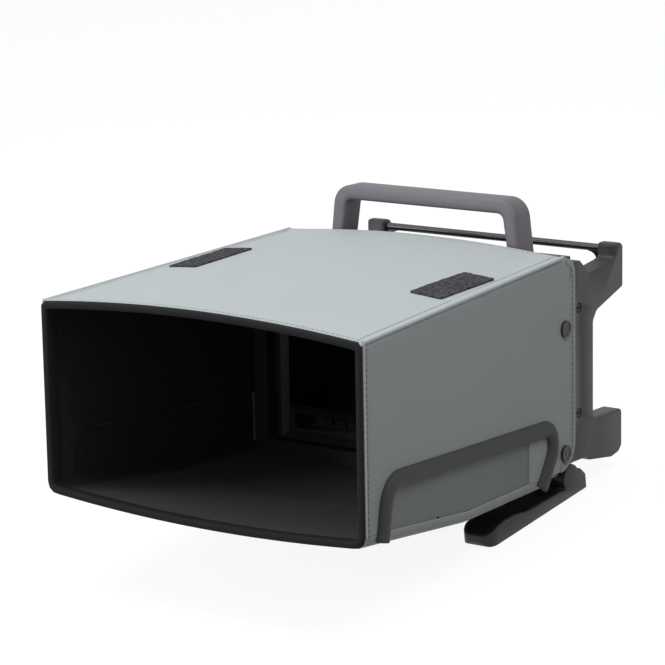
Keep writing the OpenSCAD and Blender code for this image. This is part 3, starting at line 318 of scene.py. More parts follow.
def make_materials(colors):
    """All finishes by name, made once."""
    MATERIALS.update(
        top_cloth=cloth("top_cloth", colors.top_cloth, sheen_weight=0.08, sheen_roughness=0.5),
        # side cloth: the top's fabric painted darker, as painted shade on the sides and the floor
        side_cloth=cloth("side_cloth", colors.side_cloth, sheen_weight=0.06, sheen_roughness=0.5),
        # flaps: the side cloth darkened further, as painted shade on the recessed flaps
        flap_cloth=cloth("flap_cloth", tuple(c * 0.6 for c in colors.side_cloth), 0.68, sheen_weight=0.04,
                         sheen_roughness=0.5),
        tape=cloth("tape", colors.tape, 0.85, thread=0.0009, relief=0.00012, mottle=0.25,
                   specular_ior_level=0.15),
        piping=cloth("piping", tuple(c * 1.9 for c in colors.tape), 0.7, thread=0.0009, relief=0.00012,
                     mottle=0.25, specular_ior_level=0.4),
        felt=felt("felt", colors.felt),
        hook=hook_pile("hook_pile", (0.018, 0.018, 0.02)),
        # threads: their cloths darkened, as painted shade of the dimples where the stitches sink in
        top_thread=cloth("top_thread", tuple(c * 0.75 for c in colors.top_cloth), 0.7, 0.0003),
        side_thread=cloth("side_thread", tuple(c * 0.62 for c in colors.side_cloth), 0.7, 0.0003),
        handle=plastic("handle_plastic", colors.handle, 0.5),
        guard=plastic("guard_plastic", colors.guard, 0.46, specular_ior_level=0.35),
        housing=plastic("housing_plastic", tuple(c * 0.8 for c in colors.guard), 0.48,
                        specular_ior_level=0.3),
        rear=plastic("rear_plastic", tuple(c * 0.85 for c in colors.guard), 0.5, specular_ior_level=0.3),
        foot=plastic("foot_plastic", colors.foot, 0.5, specular_ior_level=0.35),
        collar=plastic("collar_plastic", (0.018, 0.018, 0.019), 0.55),
        button=plastic("button_plastic", (0.03, 0.03, 0.032), 0.5, specular_ior_level=0.25),
        knob=plastic("knob_plastic", (0.02, 0.02, 0.021), 0.45, specular_ior_level=0.3),
        stud=plastic("stud_plastic", (0.012, 0.012, 0.013), 0.4),
        socket=plastic("socket_plastic", (0.025, 0.025, 0.027), 0.5),
        plate=metal("plate_metal", (0.06, 0.06, 0.065), 0.45),
        bar=plastic("bar_paint", (0.016, 0.016, 0.018), 0.26, grain=0.00001),
        rubber=plastic("rubber", (0.007, 0.007, 0.007), 0.85, grain=0.0004, grain_scale=900,
                       specular_ior_level=0.12),
        screw=metal("black_screw", (0.05, 0.05, 0.055), 0.38),
        pin=metal("steel_pin", (0.55, 0.55, 0.57), 0.3),
        jack=metal("nickel", (0.7, 0.69, 0.66), 0.22, "Y"),
        brass=metal("brass", (0.62, 0.47, 0.2), 0.3, "Z"),
        sheet=metal("sheet_steel", (0.52, 0.53, 0.54), 0.4),
        sink=metal("aluminium", (0.68, 0.69, 0.71), 0.38),
        glass=glass_black("display_glass"),
        panel=plastic("panel_black", (0.03, 0.03, 0.035), 0.3),
        diffuser=plastic("diffuser", (0.6, 0.6, 0.6), 0.6),
        board=board_green("board_green"),
        lamp=plastic("lamp_lens", (0.05, 0.35, 0.09), 0.2),
    )


# ---------------------------------------------------------------- the hood's form, in millimetres

TOP_R, FLOOR_R = 3, 8                           # the hood's rounded long edges
SAG_Y, SAG_Z, SAG_R = -130, 0.5, 60             # the floor runs nearly level back from here
BINDING = 5                                     # depth of the tape round the mouth
SIDE_REAR, FLOOR_REAR = 16.5, -18
REAR_LOW_R, REAR_HIGH_R = 20, 11                # corners of the sides' rear edges
FLAP_UP = 9                                     # the flap hangs this far above the floor's edge
OPENING_REAR = -48                              # the hand opening's rear edge
FLAP_GAP, LINING_GAP = 0.3, 0.8
CLOTH_END, LINING_END = 0.6, 4                  # the panels and the lining end this far behind the mouth
LINING_REAR, LINING_WAVE, LINING_OFF, LINING_T = -46.2, 0.25, 0.05, 0.9
LINING_ROLL_R = 0.6                             # the felt's rolled edge below the flap
LEAST_R = 0.4                                   # the smallest corner left inside a rounded one
FLAP_CLOTH, FLAP_FELT = (1, 1.6, 0.6), (2.65, 0.5, 0.1)     # (depth in the side, thickness, rounding)


class HoodForm:
    """Where the hood's cloth lies, from the sizes that the user set."""

    def __init__(self, sizes):
        self.length = sizes.length / MM
        self.board = sizes.board / MM
        self.top_crown = sizes.top_crown / MM
        self.floor_crown = sizes.floor_crown / MM
        self.rear_half = sizes.rear_width / MM / 2
        self.rear_h = sizes.rear_height / MM
        self.rise = sizes.mouth_rise / MM
        self.stitch = sizes.stitch / MM
        self.flare = (sizes.mouth_width / MM / 2 - self.rear_half) / self.length
        self.fall = (self.rear_h - sizes.mouth_height / MM - self.rise) / self.length
        self.mouth_y = BINDING - self.length
        # middle line of the piping round the hand opening, as (y, z) points with corner radii
        self.opening = [(-33, 0), (-16.5, 27), (-18, 43.5), (26.5 - self.length, 53),
                        (19.5 - self.length, 10)]
        self.opening_r = [0, 20, 11, 17, 0]

    def half(self, y):
        """Half the hood's width."""
        return self.rear_half - self.flare * y

    def top(self, y):
        """Height of the sides' upper edge."""
        return self.rear_h + self.fall * y

    def low(self, y):
        """Height of the sides' lower edge."""
        if y < SAG_Y:
            return SAG_Z + (self.rise - SAG_Z) * (SAG_Y - y) / (SAG_Y + self.length)
        return SAG_Z * y / SAG_Y

    def across(self, y, s, inset, corner, crown, edge, up):
        """A point of the top or floor: s mm from the middle along the cloth, past the rounded corner."""
        r = max(corner - inset, LEAST_R)
        flat = self.half(y) - inset - r
        reach, sign = abs(s), math.copysign(1, s)
        swell = crown * flat / (self.rear_half - corner)
        if reach <= flat:
            return (s, y, edge + up * swell * (1 - (reach / flat) ** 2))
        turn = min((reach - flat) / r, math.pi / 2)
        return (sign * (flat + r * math.sin(turn)), y, edge - up * r * (1 - math.cos(turn)))

    def on_top(self, y, s, inset=0.0):
        return self.across(y, s, inset, TOP_R, self.top_crown, self.top(y) - inset, 1)

    def on_floor(self, y, s, inset=0.0):
        return self.across(y, s, inset, FLOOR_R, self.floor_crown, self.low(y) + inset, -1)

    def seam(self, y, corner, inset=0.0):
        """Cloth length from the middle to the seam with the side."""
        r = max(corner - inset, LEAST_R)
        return self.half(y) - inset - r + r * math.pi / 2

    def on_side(self, side, y, z, out=0.0):
        return (side * (self.half(y) + out), y, z)

    def ring(self, y, inset):
        """Points round the hood at y, moved in by inset, counter-clockwise from the front."""
        seam_low, seam_top = self.seam(y, FLOOR_R, inset), self.seam(y, TOP_R, inset)
        floor = [self.on_floor(y, s, inset) for s in steps(-seam_low, seam_low, 60)]
        top = [self.on_top(y, s, inset) for s in steps(seam_top, -seam_top, 60)]
        sides = []
        for side, start, end in ((1, floor[-1][2], top[0][2]), (-1, top[-1][2], floor[0][2])):
            sides.append([(side * (self.half(y) - inset), y, z) for z in steps(start, end, 24)[1:-1]])
        return [Vector(p) for p in floor + sides[0] + top + sides[1]]


def ripple(x, y, wave, seed):
    """Smooth noise from -1 to 1, with hills about a wave apart."""
    return noise.noise(Vector((x / wave, y / wave, seed)))


def puckers(away_y, away_z, reach=42, fold=9):
    """Small folds that run out from a corner of a panel and die away."""
    distance = math.hypot(away_y, away_z)
    angle = math.atan2(away_z, away_y)
    return math.exp(-distance / reach) * math.sin(angle * fold + ripple(away_y, away_z, 25, 3) * 2)


def rounded(points, radii, steps=8):
    """An open line with its corners rounded."""
    line = [Vector(points[0])]
    for before, corner, after, r in zip(points, points[1:], points[2:], radii[1:]):
        b = Vector(corner)
        u, v = (Vector(before) - b).normalized(), (Vector(after) - b).normalized()
        half = u.angle(v) / 2
        centre = b + (u + v).normalized() * r / math.sin(half)
        start, end = b + u * r / math.tan(half) - centre, b + v * r / math.tan(half) - centre
        turn = math.atan2(start.x * end.y - start.y * end.x, start.dot(end))
        line += [centre + Matrix.Rotation(turn * i / steps, 2) @ start for i in range(steps + 1)]
    return line + [Vector(points[-1])]


def resample(line, step):
    """The line again, with points about step apart."""
    lengths = [(b - a).length for a, b in zip(line, line[1:])]
    count = max(2, round(sum(lengths) / step))
    points, i, done = [], 0, 0.0
    for k in range(count + 1):
        at = sum(lengths) * k / count
        while i < len(lengths) - 1 and done + lengths[i] < at:
            done += lengths[i]
            i += 1
        points.append(line[i].lerp(line[i + 1], min(1, (at - done) / lengths[i])))
    return points


def grow(line, amount):
    """An open 2-D line moved sideways, to its left, by amount."""
    moved = []
    for i, point in enumerate(line):
        along = (line[min(i + 1, len(line) - 1)] - line[max(i - 1, 0)]).normalized()
        moved.append(point + Vector((-along.y, along.x)) * amount)
    return moved


def side_outline(form):
    """The side's upper, rear and lower edges as a (y, z) line, from mouth to mouth."""
    high, low = form.top(SIDE_REAR) - TOP_R, form.low(SIDE_REAR) + FLOOR_R
    return rounded([(form.mouth_y, form.top(form.mouth_y) - TOP_R), (SIDE_REAR, high), (SIDE_REAR, low),
                    (SAG_Y, SAG_Z + FLOOR_R), (form.mouth_y, form.low(form.mouth_y) + FLOOR_R)],
                   [0, REAR_HIGH_R, REAR_LOW_R, SAG_R, 0])


# ---------------------------------------------------------------- making and finishing pieces

def deselect():
    """Deselects every object."""
    for thing in list(bpy.context.selected_objects):
        thing.select_set(False)


def take(name):
    """Names the new active object."""
    made = bpy.context.view_layer.objects.active
    made.name = made.data.name = name
    return made


def link(name, data):
    """Puts a new object with this mesh, camera or light into the scene."""
    made = bpy.data.objects.new(name, data)
    bpy.context.scene.collection.objects.link(made)
    return made


def from_points(name, points, polygons):
    """A new piece from its points and its polygons."""
    mesh = bpy.data.meshes.new(name)
    mesh.from_pydata(points, [], polygons)
    return link(name, mesh)


def into_mesh(piece, place=Matrix.Identity(4)):
    """Puts a piece's own place, and then a further one, into its mesh."""
    piece.data.transform(place @ piece.matrix_world)
    piece.matrix_world = Matrix.Identity(4)


def activate(piece):
    """Makes a piece the only selected object."""
    deselect()
    piece.select_set(True)
    bpy.context.view_layer.objects.active = piece


class Editing:
    """Edit mode on a piece, with nothing selected at the start."""

    def __init__(self, piece):
        self.piece = piece

    def __enter__(self):
        activate(self.piece)
        bpy.ops.object.mode_set(mode="EDIT")
        bpy.ops.mesh.select_all(action="DESELECT")
        return self

    def __exit__(self, *problem):
        bpy.ops.object.mode_set(mode="OBJECT")

    def select(self, kind, test):
        """Selects the verts, edges or faces that pass the test, and nothing else."""
        bpy.ops.mesh.select_all(action="DESELECT")
        bpy.ops.mesh.select_mode(type={"verts": "VERT", "edges": "EDGE", "faces": "FACE"}[kind])
        mesh = bmesh.from_edit_mesh(self.piece.data)
        chosen = [element for element in getattr(mesh, kind) if test(element)]
        for element in chosen:
            element.select_set(True)
        mesh.select_flush_mode()
        bmesh.update_edit_mesh(self.piece.data)
        return len(chosen)


def modify(piece, kind, **settings):
    """Adds a modifier and applies it."""
    activate(piece)
    modifier = piece.modifiers.new(kind.title(), kind)
    for name, value in settings.items():
        setattr(modifier, name, value)
    bpy.ops.object.modifier_apply(modifier=modifier.name)


def merge(pieces, name):
    """Joins pieces into one object."""
    deselect()
    for piece in pieces:
        piece.select_set(True)
    bpy.context.view_layer.objects.active = pieces[0]
    if len(pieces) > 1:
        bpy.ops.object.join()
    return take(name)


def smooth(piece, angle):
    """Shades a piece smooth, but for edges sharper than the angle in degrees."""
    activate(piece)
    bpy.ops.object.shade_smooth_by_angle(angle=math.radians(angle))


def settle(piece, body, material, stands_for=(), place=LEAN):
    """Leans a finished piece onto its place, gives it its finish and puts it on its body."""
    if place is not None:
        into_mesh(piece, place)
    piece.data.materials.clear()
    piece.data.materials.append(MATERIALS[material])
    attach(piece, body)
    if stands_for:
        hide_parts(*stands_for)
    return piece


def grid_sheet(name, columns, rows, place):
    """A grid primitive whose points are put on a surface; place gives a point and its cloth place in mm."""
    deselect()
    bpy.ops.mesh.primitive_grid_add(x_subdivisions=columns - 1, y_subdivisions=rows - 1, size=2)
    sheet = take(name)
    cloth_place = {}
    for vertex in sheet.data.vertices:
        column = round((vertex.co.x + 1) / 2 * (columns - 1))
        row = round((vertex.co.y + 1) / 2 * (rows - 1))
        point, cloth_place[vertex.index] = place(column, row)
        vertex.co = point
    set_map(sheet, lambda loop: cloth_place[loop.vertex_index])
    return sheet


def set_map(piece, where):
    """Writes the piece's map from places in mm, kept in metres."""
    layer = piece.data.uv_layers.active or piece.data.uv_layers.new(name="Cloth")
    for loop in piece.data.loops:
        across, along = where(loop)
        layer.data[loop.index].uv = (across * MM, along * MM)


def flat_map(piece, first, second):
    """Maps a piece by two of its own axes."""
    points = piece.data.vertices
    set_map(piece, lambda loop: (points[loop.vertex_index].co[first], points[loop.vertex_index].co[second]))


def steps(start, end, count):
    """The ends of count even steps."""
    return [start + (end - start) * i / count for i in range(count + 1)]


def fine_steps(start, end, count, fine=(), reach=0.9):
    """Even steps with extra ones at each fine place, where a seam sinks in."""
    extra = [place + shift for place in fine for shift in (-reach, 0, reach)]
    even = [s for s in steps(start, end, count) if all(abs(s - e) > reach / 2 for e in extra)]
    return sorted(even + extra, reverse=start > end)


def seam_dip(distance, reach=0.9, depth=0.35):
    """How far a sewn seam sinks the cloth at this distance from it."""
    return depth if abs(distance) < reach / 2 else 0.0


def panel(name, outline, cuts, place):
    """A flat panel of any outline: filled, cut into cells by bisect, and put on its surface."""
    deselect()
    made = from_points(name, [(p.x, p.y, 0) for p in outline], [list(range(len(outline)))])
    with Editing(made):
        bpy.ops.mesh.select_all(action="SELECT")
        bpy.ops.mesh.quads_convert_to_tris(ngon_method="BEAUTY")
        for point, normal in cuts:
            bpy.ops.mesh.select_all(action="SELECT")
            bpy.ops.mesh.bisect(plane_co=(*point, 0), plane_no=(*normal, 0))
        bpy.ops.mesh.select_all(action="SELECT")
        bpy.ops.mesh.remove_doubles(threshold=0.25)
    flat_map(made, 0, 1)
    for vertex in made.data.vertices:
        vertex.co = place(vertex.co.x, vertex.co.y)
    return made


def distances(points):
    """How far along a line each of its points lies."""
    return [0.0, *itertools.accumulate(math.dist(a, b) for a, b in zip(points, points[1:]))]


def sweep(name, line, outline, frames):
    """A closed outline of (out, side) points swept along a line; frames gives both directions."""
    around, along = distances(outline + outline[:1]), distances(line)

    def place(column, row):
        out, side = frames[row]
        a, b = outline[column % len(outline)]
        return line[row] + out * a + side * b, (around[column], along[row])

    made = grid_sheet(name, len(outline) + 1, len(line), place)
    with Editing(made) as edit:
        bpy.ops.mesh.select_all(action="SELECT")
        bpy.ops.mesh.remove_doubles(threshold=0.001)
        if edit.select("edges", lambda e: e.is_boundary):
            bpy.ops.mesh.fill_holes(sides=0)
        bpy.ops.mesh.select_all(action="SELECT")
        bpy.ops.mesh.normals_make_consistent(inside=False)
    return made


def stitches(name, line, up, pitch):
    """A row of thread stitches lying on a surface: one stitch, copied along the line."""
    deselect()
    bpy.ops.mesh.primitive_uv_sphere_add(segments=6, ring_count=4, radius=0.5)
    one = take(name)
    shape = [v.co.copy() for v in one.data.vertices]
    faces = [tuple(p.vertices) for p in one.data.polygons]
    bpy.data.objects.remove(one)
    points, polygons = [], []
    path = resample(line, pitch)
    for i in range(len(path) - 1):
        middle = path[i].lerp(path[i + 1], 0.5)
        along = (path[i + 1] - path[i]).normalized()
        side = up.cross(along).normalized()
        first = len(points)
        for v in shape:
            points.append(middle + along * v.z * STITCH_LENGTH + side * v.x * STITCH_WIDTH
                          + up * (v.y * STITCH_WIDTH * 0.8 - STITCH_SINK))
        polygons += [tuple(first + k for k in face) for face in faces]
    made = from_points(name, points, polygons)
    smooth(made, 180)
    flat_map(made, 0, 1)
    return made


def eased(node, name, width, body, material, slot):
    """A copy of a frame node with its edges broken by a small bevel, which then stands for the node."""
    deselect()
    source = frame["nodes"][node]
    piece = link(name, source.data.copy())
    piece.data.name = name
    for kind in ("custom_normal", "sharp_face", "sharp_edge"):
        if kind in piece.data.attributes:
            piece.data.attributes.remove(piece.data.attributes[kind])
    with Editing(piece):
        bpy.ops.mesh.select_all(action="SELECT")
        bpy.ops.mesh.remove_doubles(threshold=0.00001)
        bpy.ops.mesh.dissolve_limited(angle_limit=math.radians(0.6))
    modify(piece, "BEVEL", width=width * MM, segments=2, limit_method="ANGLE", angle_limit=math.radians(30),
           use_clamp_overlap=False, harden_normals=False, miter_outer="MITER_ARC")
    smooth(piece, 40)
    return settle(piece, body, material, (node,), place=None)


# ---------------------------------------------------------------- the hood's cloth

STITCH_IN = 5.5                                 # stitch rows lie this far in from an edge
RIDGE_STITCH_IN = 8                             # and this far in from the ridge
WAVE = 0.9                                      # how far the stretched cloth waves in and out
SIDES = {"right": 1, "left": -1}


def top_relief(form, y, s):
    """How far the top's skin lies off its plain form: soft waves, corner folds and the seams' dips."""
    seam = form.seam(y, TOP_R)
    edge = min(1, (seam - abs(s)) / 30, (y + form.length) / 25, -y / 12 + 0.15)
    lift = ripple(s, y, 70, 1) * WAVE * max(0, edge)
    for side in (1, -1):
        lift += 0.5 * puckers(y - 4, seam - side * s + 4, 26, 7) if side * s > 0 else 0
    return lift - seam_dip(seam - RIDGE_STITCH_IN - abs(s)) - seam_dip(y + form.length - STITCH_IN)


def side_relief(form, y, z, seed):
    """How far a side's skin lies off its plain form."""
    edge = min(1, (form.top(y) - z) / 25, (y + form.length) / 20, (SIDE_REAR - y) / 12,
               (z - form.low(y)) / 20)
    lift = ripple(y, z, 60, seed) * WAVE * max(0, edge)
    lift += 0.75 * puckers(y - SIDE_REAR - 4, z - form.top(SIDE_REAR), 34, 9)
    return lift - seam_dip(y + form.length - STITCH_IN)


def build_top(form):
    """The top panel, finer where its stitches sink in."""
    seam = form.seam(0, TOP_R)
    corner = TOP_R * math.pi / 2
    half = fine_steps(2, seam - corner - 0.5, 26, (seam - RIDGE_STITCH_IN,))
    columns = sorted([-c for c in half] + [0] + half)
    columns = ([-seam + corner * k / 4 for k in range(4)] + columns
               + [seam - corner * k / 4 for k in range(3, -1, -1)])
    rows = fine_steps(0, CLOTH_END - form.length, 54, (STITCH_IN - form.length, -STITCH_IN))

    def place(column, row):
        y, s = rows[row], columns[column]
        s *= form.seam(y, TOP_R) / seam
        x, y, z = form.on_top(y, s)
        return Vector((x, y, z + top_relief(form, y, s))), (s, y)

    top = outward(grid_sheet("hood_top_cloth", len(columns), len(rows), place), (0, 0, 1))
    return thicken(top, form.board, 1.1)


def outward(sheet, direction):
    """Turns an open sheet so that its first face looks the way given."""
    sheet.data.update()
    if sheet.data.polygons[0].normal.dot(Vector(direction)) < 0:
        sheet.data.flip_normals()
    return sheet


def build_floor(form):
    """The floor panel, which hangs a little between its edges."""
    seam = form.seam(FLOOR_REAR, FLOOR_R)
    rows = steps(FLOOR_REAR, CLOTH_END - form.length, 50)
    columns = steps(-seam, seam, 64)

    def place(column, row):
        y = rows[row]
        s = columns[column] * form.seam(y, FLOOR_R) / seam
        x, y, z = form.on_floor(y, s)
        edge = max(0, min(1, (form.half(y) - abs(s)) / 30, (y + form.length) / 25))
        return Vector((x, y, z + ripple(s, y, 60, 5) * 0.7 * edge)), (s, y)

    floor = outward(grid_sheet("hood_floor_cloth", len(columns), len(rows), place), (0, 0, -1))
    return thicken(floor, form.board)


def thicken(sheet, thickness, edge=0.8):
    """Turns a sheet into stiffened cloth with rounded edges; the skin stays where it is."""
    modify(sheet, "SOLIDIFY", thickness=thickness, offset=-1, use_even_offset=True)
    modify(sheet, "BEVEL", width=edge, segments=3, limit_method="ANGLE", angle_limit=math.radians(55),
           use_clamp_overlap=False)
    smooth(sheet, 50)
    return sheet


def notch(form, inwards, up):
    """The hand opening's edge as a (y, z) line from its lower rear to its lower front corner."""
    line = grow(rounded(form.opening, form.opening_r), inwards)
    rear = OPENING_REAR - inwards
    kept = [p for p in line if p.x < rear and p.y > form.low(p.x) + up]
    before = line[line.index(kept[0]) - 1]
    share = (rear - before.x) / (kept[0].x - before.x)
    return ([Vector((rear, form.low(rear) + up)), before.lerp(kept[0], share)] + kept
            + [Vector((kept[-1].x - 0.5, form.low(kept[-1].x) + up))])


def grid_cuts(y0, y1, z0, z1, step):
    """Lines that cut a panel into square cells, as points and normals."""
    cuts = [((y, 0), (1, 0)) for y in steps(y0, y1, round(abs(y1 - y0) / step))[1:-1]]
    return cuts + [((0, z), (0, 1)) for z in steps(z0, z1, round(abs(z1 - z0) / step))[1:-1]]


def build_side(form, side, name):
    """A side panel with its hand opening cut out."""
    opening = notch(form, 0, FLOOR_R)
    # the side's edge without the stretch below the opening
    kept = [p for p in side_outline(form) if p.x > OPENING_REAR or p.y > form.low(p.x) + FLOOR_R + 30]
    front = CLOTH_END - form.length
    outline = [Vector((front, form.top(front) - TOP_R))] + kept[1:] + opening + [
        Vector((front, form.low(front) + FLOOR_R))]
    cuts = grid_cuts(front, SIDE_REAR, 0, form.rear_h, 4.5)
    stitch_y = STITCH_IN - form.length
    cuts += [((stitch_y + shift, 0), (1, 0)) for shift in (-0.9, 0, 0.9)]
    made = panel(name, outline, cuts, lambda y, z: Vector(
        form.on_side(side, y, z, side_relief(form, y, z, 7 + side))))
    return thicken(outward(made, (side, 0, 0)), form.board, 1.1)


def build_flap(form, side, name, recess, thickness, edge):
    """One layer of a hand opening's flap, its skin this far in from the side's skin."""
    opening = notch(form, FLAP_GAP, FLAP_UP)
    cuts = grid_cuts(-form.length, OPENING_REAR, 0, 60, 4.5)
    cut_ys = sorted(point[0] for point, normal in cuts if normal[0])
    lowest = [Vector((y, form.low(y) + FLAP_UP)) for y in cut_ys
              if opening[-1].x + 1 < y < opening[0].x - 1]

    def place(y, z):
        free = max(0, min(1, (z - form.low(y) - FLAP_UP) / 12, (52 - z) / 12, (OPENING_REAR - y) / 12))
        return Vector(form.on_side(side, y, z, ripple(y, z, 45, 11 + side) * 0.5 * free - recess))

    made = panel(name, opening + lowest, cuts, place)
    return thicken(outward(made, (side, 0, 0)), thickness, edge)


class MONITOR_OT_hood_cloth(bpy.types.Operator):
    """Cover the hood with its stiffened cloth panels and hang the flaps in the hand openings"""
    bl_idname = "monitor.hood_cloth"
    bl_label = "Hood Cloth"

    def execute(self, context):
        form = HoodForm(context.scene.monitor_hood)
        top = settle(build_top(form), "hood", "top_cloth", ["hood_top"])
        width = 2 * form.seam(form.mouth_y / 2, TOP_R)
        width * MM
        floor = settle(build_floor(form), "hood", "side_cloth", ["hood_floor"])
        width = 2 * form.seam(form.mouth_y / 2, FLOOR_R)
        width * MM
        for word, side in SIDES.items():
            panel_name, node = f"hood_side_cloth_{word}", f"hood_side_{word}"
            made = build_side(form, side, panel_name)
            settle(made, "hood", "side_cloth", [node])
            flap_node = f"access_flap_{word}"
            flap = build_flap(form, side, f"flap_cloth_{word}", *FLAP_CLOTH)
            settle(flap, flap_node, "flap_cloth", [flap_node])
            back = build_flap(form, side, f"flap_felt_{word}", *FLAP_FELT)
            settle(back, flap_node, "felt")
        return {"FINISHED"}


class MONITOR_OT_lining(bpy.types.Operator):
    """Line the hood with black felt"""
    bl_idname = "monitor.lining"
    bl_label = "Lining"

    def execute(self, context):
        form = HoodForm(context.scene.monitor_hood)
        rear, front, inset = LINING_REAR, LINING_END - form.length, form.board + LINING_OFF
        rows = steps(rear, front, 46)

        def place(column, row, point, columns, seed):
            y = rows[row]
            x, y, z = point(y, columns[column] * form.half(y) / form.rear_half, inset)
            return Vector((x, y, z + ripple(x, y, 40, seed) * LINING_WAVE)), (x, y)

        reach = form.rear_half - inset - LEAST_R
        top = grid_sheet("lining_top", 60, len(rows), lambda c, r: place(
            c, r, form.on_top, steps(-reach, reach, 59), 21))
        outward(top, (0, 0, 1))
        reach = form.seam(0, FLOOR_R, inset)
        floor = grid_sheet("lining_floor", 70, len(rows), lambda c, r: place(
            c, r, form.on_floor, steps(-reach, reach, 69), 22))
        outward(floor, (0, 0, -1))
        opening = notch(form, -LINING_GAP, FLOOR_R)
        sheets = [top, floor]
        for side in SIDES.values():
            high_edge = [Vector((y, form.top(y) - inset - LEAST_R)) for y in (front, rear)]
            outline = (high_edge + [Vector((rear, opening[1].y))] + opening[2:]
                       + [Vector((front, form.low(front) + FLOOR_R))])
            cuts = grid_cuts(front, rear, 0, form.rear_h, 6)
            made = panel("lining_side", outline, cuts, lambda y, z: Vector(
                form.on_side(side, y, z, ripple(y, z, 40, 24) * LINING_WAVE - inset)))
            sheets.append(outward(made, (side, 0, 0)))
        lining = merge(sheets, "hood_felt")
        modify(lining, "SOLIDIFY", thickness=LINING_T, offset=-1)
        rolls = []
        for side in SIDES.values():
            # rolled edge below the flap
            edge = [Vector((y, form.low(y) + FLAP_UP - LINING_ROLL_R)) for y in steps(front, rear, 50)]
            rolls.append(sweep("felt_roll", lifted(form, side, edge, -inset - 0.1),
                               tube_outline(LINING_ROLL_R), side_frames(side, edge)))
        lining = merge([lining] + rolls, "hood_felt")
        smooth(lining, 60)
        settle(lining, "hood", "felt", ["hood_lining"])
        return {"FINISHED"}


class MONITOR_OT_mouth(bpy.types.Operator):
    """Bind the mouth with tape"""
    bl_idname = "monitor.mouth"
    bl_label = "Mouth Tape"

    def execute(self, context):
        form = HoodForm(context.scene.monitor_hood)
        # (inset from the skin, distance behind the mouth's edge) round the tape
        outline = [(0.5, 1.9), (0.1, 1.7), (0.0, 0.9), (0.35, 0.0), (1.2, -0.65), (2.4, -0.9), (3.8, -0.8),
                   (4.8, -0.3), (5.25, 0.5), (5.3, 1.4), (5.3, 8.5), (5.0, 9.0), (4.4, 9.0), (4.2, 8.6),
                   (4.2, 1.9), (2.0, 1.9)]
        rings = [form.ring(back - form.length, inset) for inset, back in outline]
        around = distances(outline + outline[:1])
        count = len(rings[0])

        def place(column, row):
            return rings[column % len(rings)][row % count], (around[column], row * 5.0)

        tape = grid_sheet("mouth_tape", len(outline) + 1, count + 1, place)
        with Editing(tape):
            bpy.ops.mesh.select_all(action="SELECT")
            bpy.ops.mesh.remove_doubles(threshold=0.001)
            bpy.ops.mesh.normals_make_consistent(inside=False)
        smooth(tape, 70)
        settle(tape, "hood", "tape", ["mouth_binding"])
        return {"FINISHED"}


def tube_outline(r, sides=10):
    """A round section."""
    turns = [2 * math.pi * i / sides for i in range(sides)]
    return [(r * math.cos(turn), r * math.sin(turn)) for turn in turns]


def lifted(form, side, line, out=0.0):
    """A (y, z) line on the side's skin."""
    return [Vector(form.on_side(side, p.x, p.y, out)) for p in line]


def side_frames(side, line):
    """Outward and sideways directions along a (y, z) line on a side."""
    frames = []
    for i in range(len(line)):
        along = (line[min(i + 1, len(line) - 1)] - line[max(i - 1, 0)]).normalized()
        frames.append((Vector((side, 0, 0)), Vector((0, -along.y, along.x))))
    return frames


class MONITOR_OT_piping(bpy.types.Operator):
    """Sew the padded piping round the hand openings"""
    bl_idname = "monitor.piping"
    bl_label = "Piping"

    def execute(self, context):
        form = HoodForm(context.scene.monitor_hood)
        half_width, proud, end = 6, 4.6, 3
        profile = [(proud * math.sin(math.pi * i / 12) ** 0.8, half_width * math.cos(math.pi * i / 12))
                   for i in range(13)] + [(-0.6, -half_width * 0.8), (-0.6, half_width * 0.8)]
        for word, side in SIDES.items():
            line = rounded(form.opening, form.opening_r)
            line[0].y = form.low(line[0].x) + end
            line[-1].y = form.low(line[-1].x) + end
            line = resample(line, 3)
            place = lifted(form, side, line)
            made = sweep(f"opening_roll_{word}", place, profile, side_frames(side, line))
            smooth(made, 60)
            settle(made, "hood", "piping", [f"opening_piping_{word}"])
        return {"FINISHED"}


STITCH_LENGTH, STITCH_WIDTH, STITCH_SINK = 2.9, 0.75, 0.05
WELT_R, WELT_IN = 1.5, 0.7                      # the roll along the ridge, and its depth in the cloth
FOLD_R, FOLD_IN, FOLD_BACK = 1.0, 0.35, 2.6     # the fold behind the mouth's tape
BEAD_R, BEAD_IN, BEAD_DOWN = 0.85, 0.95, 0.65   # the flap's sewn lower edge
HEM_STITCH_IN, HEM_STITCH_OUT = 3.4, 0.5        # the stitches on the tape of the side's rear edge

# (out, inwards) round the folded tape on the side's rear edge
REAR_HEM = [(0.3, -5.0), (0.45, -4.2), (0.5, -0.2), (0.2, 0.6), (-1.5, 0.9), (-3.4, 0.6), (-3.6, -0.2),
            (-3.6, -5.0), (-3.0, -5.0), (-3.0, -0.4), (0.0, -0.4), (0.0, -5.0)]


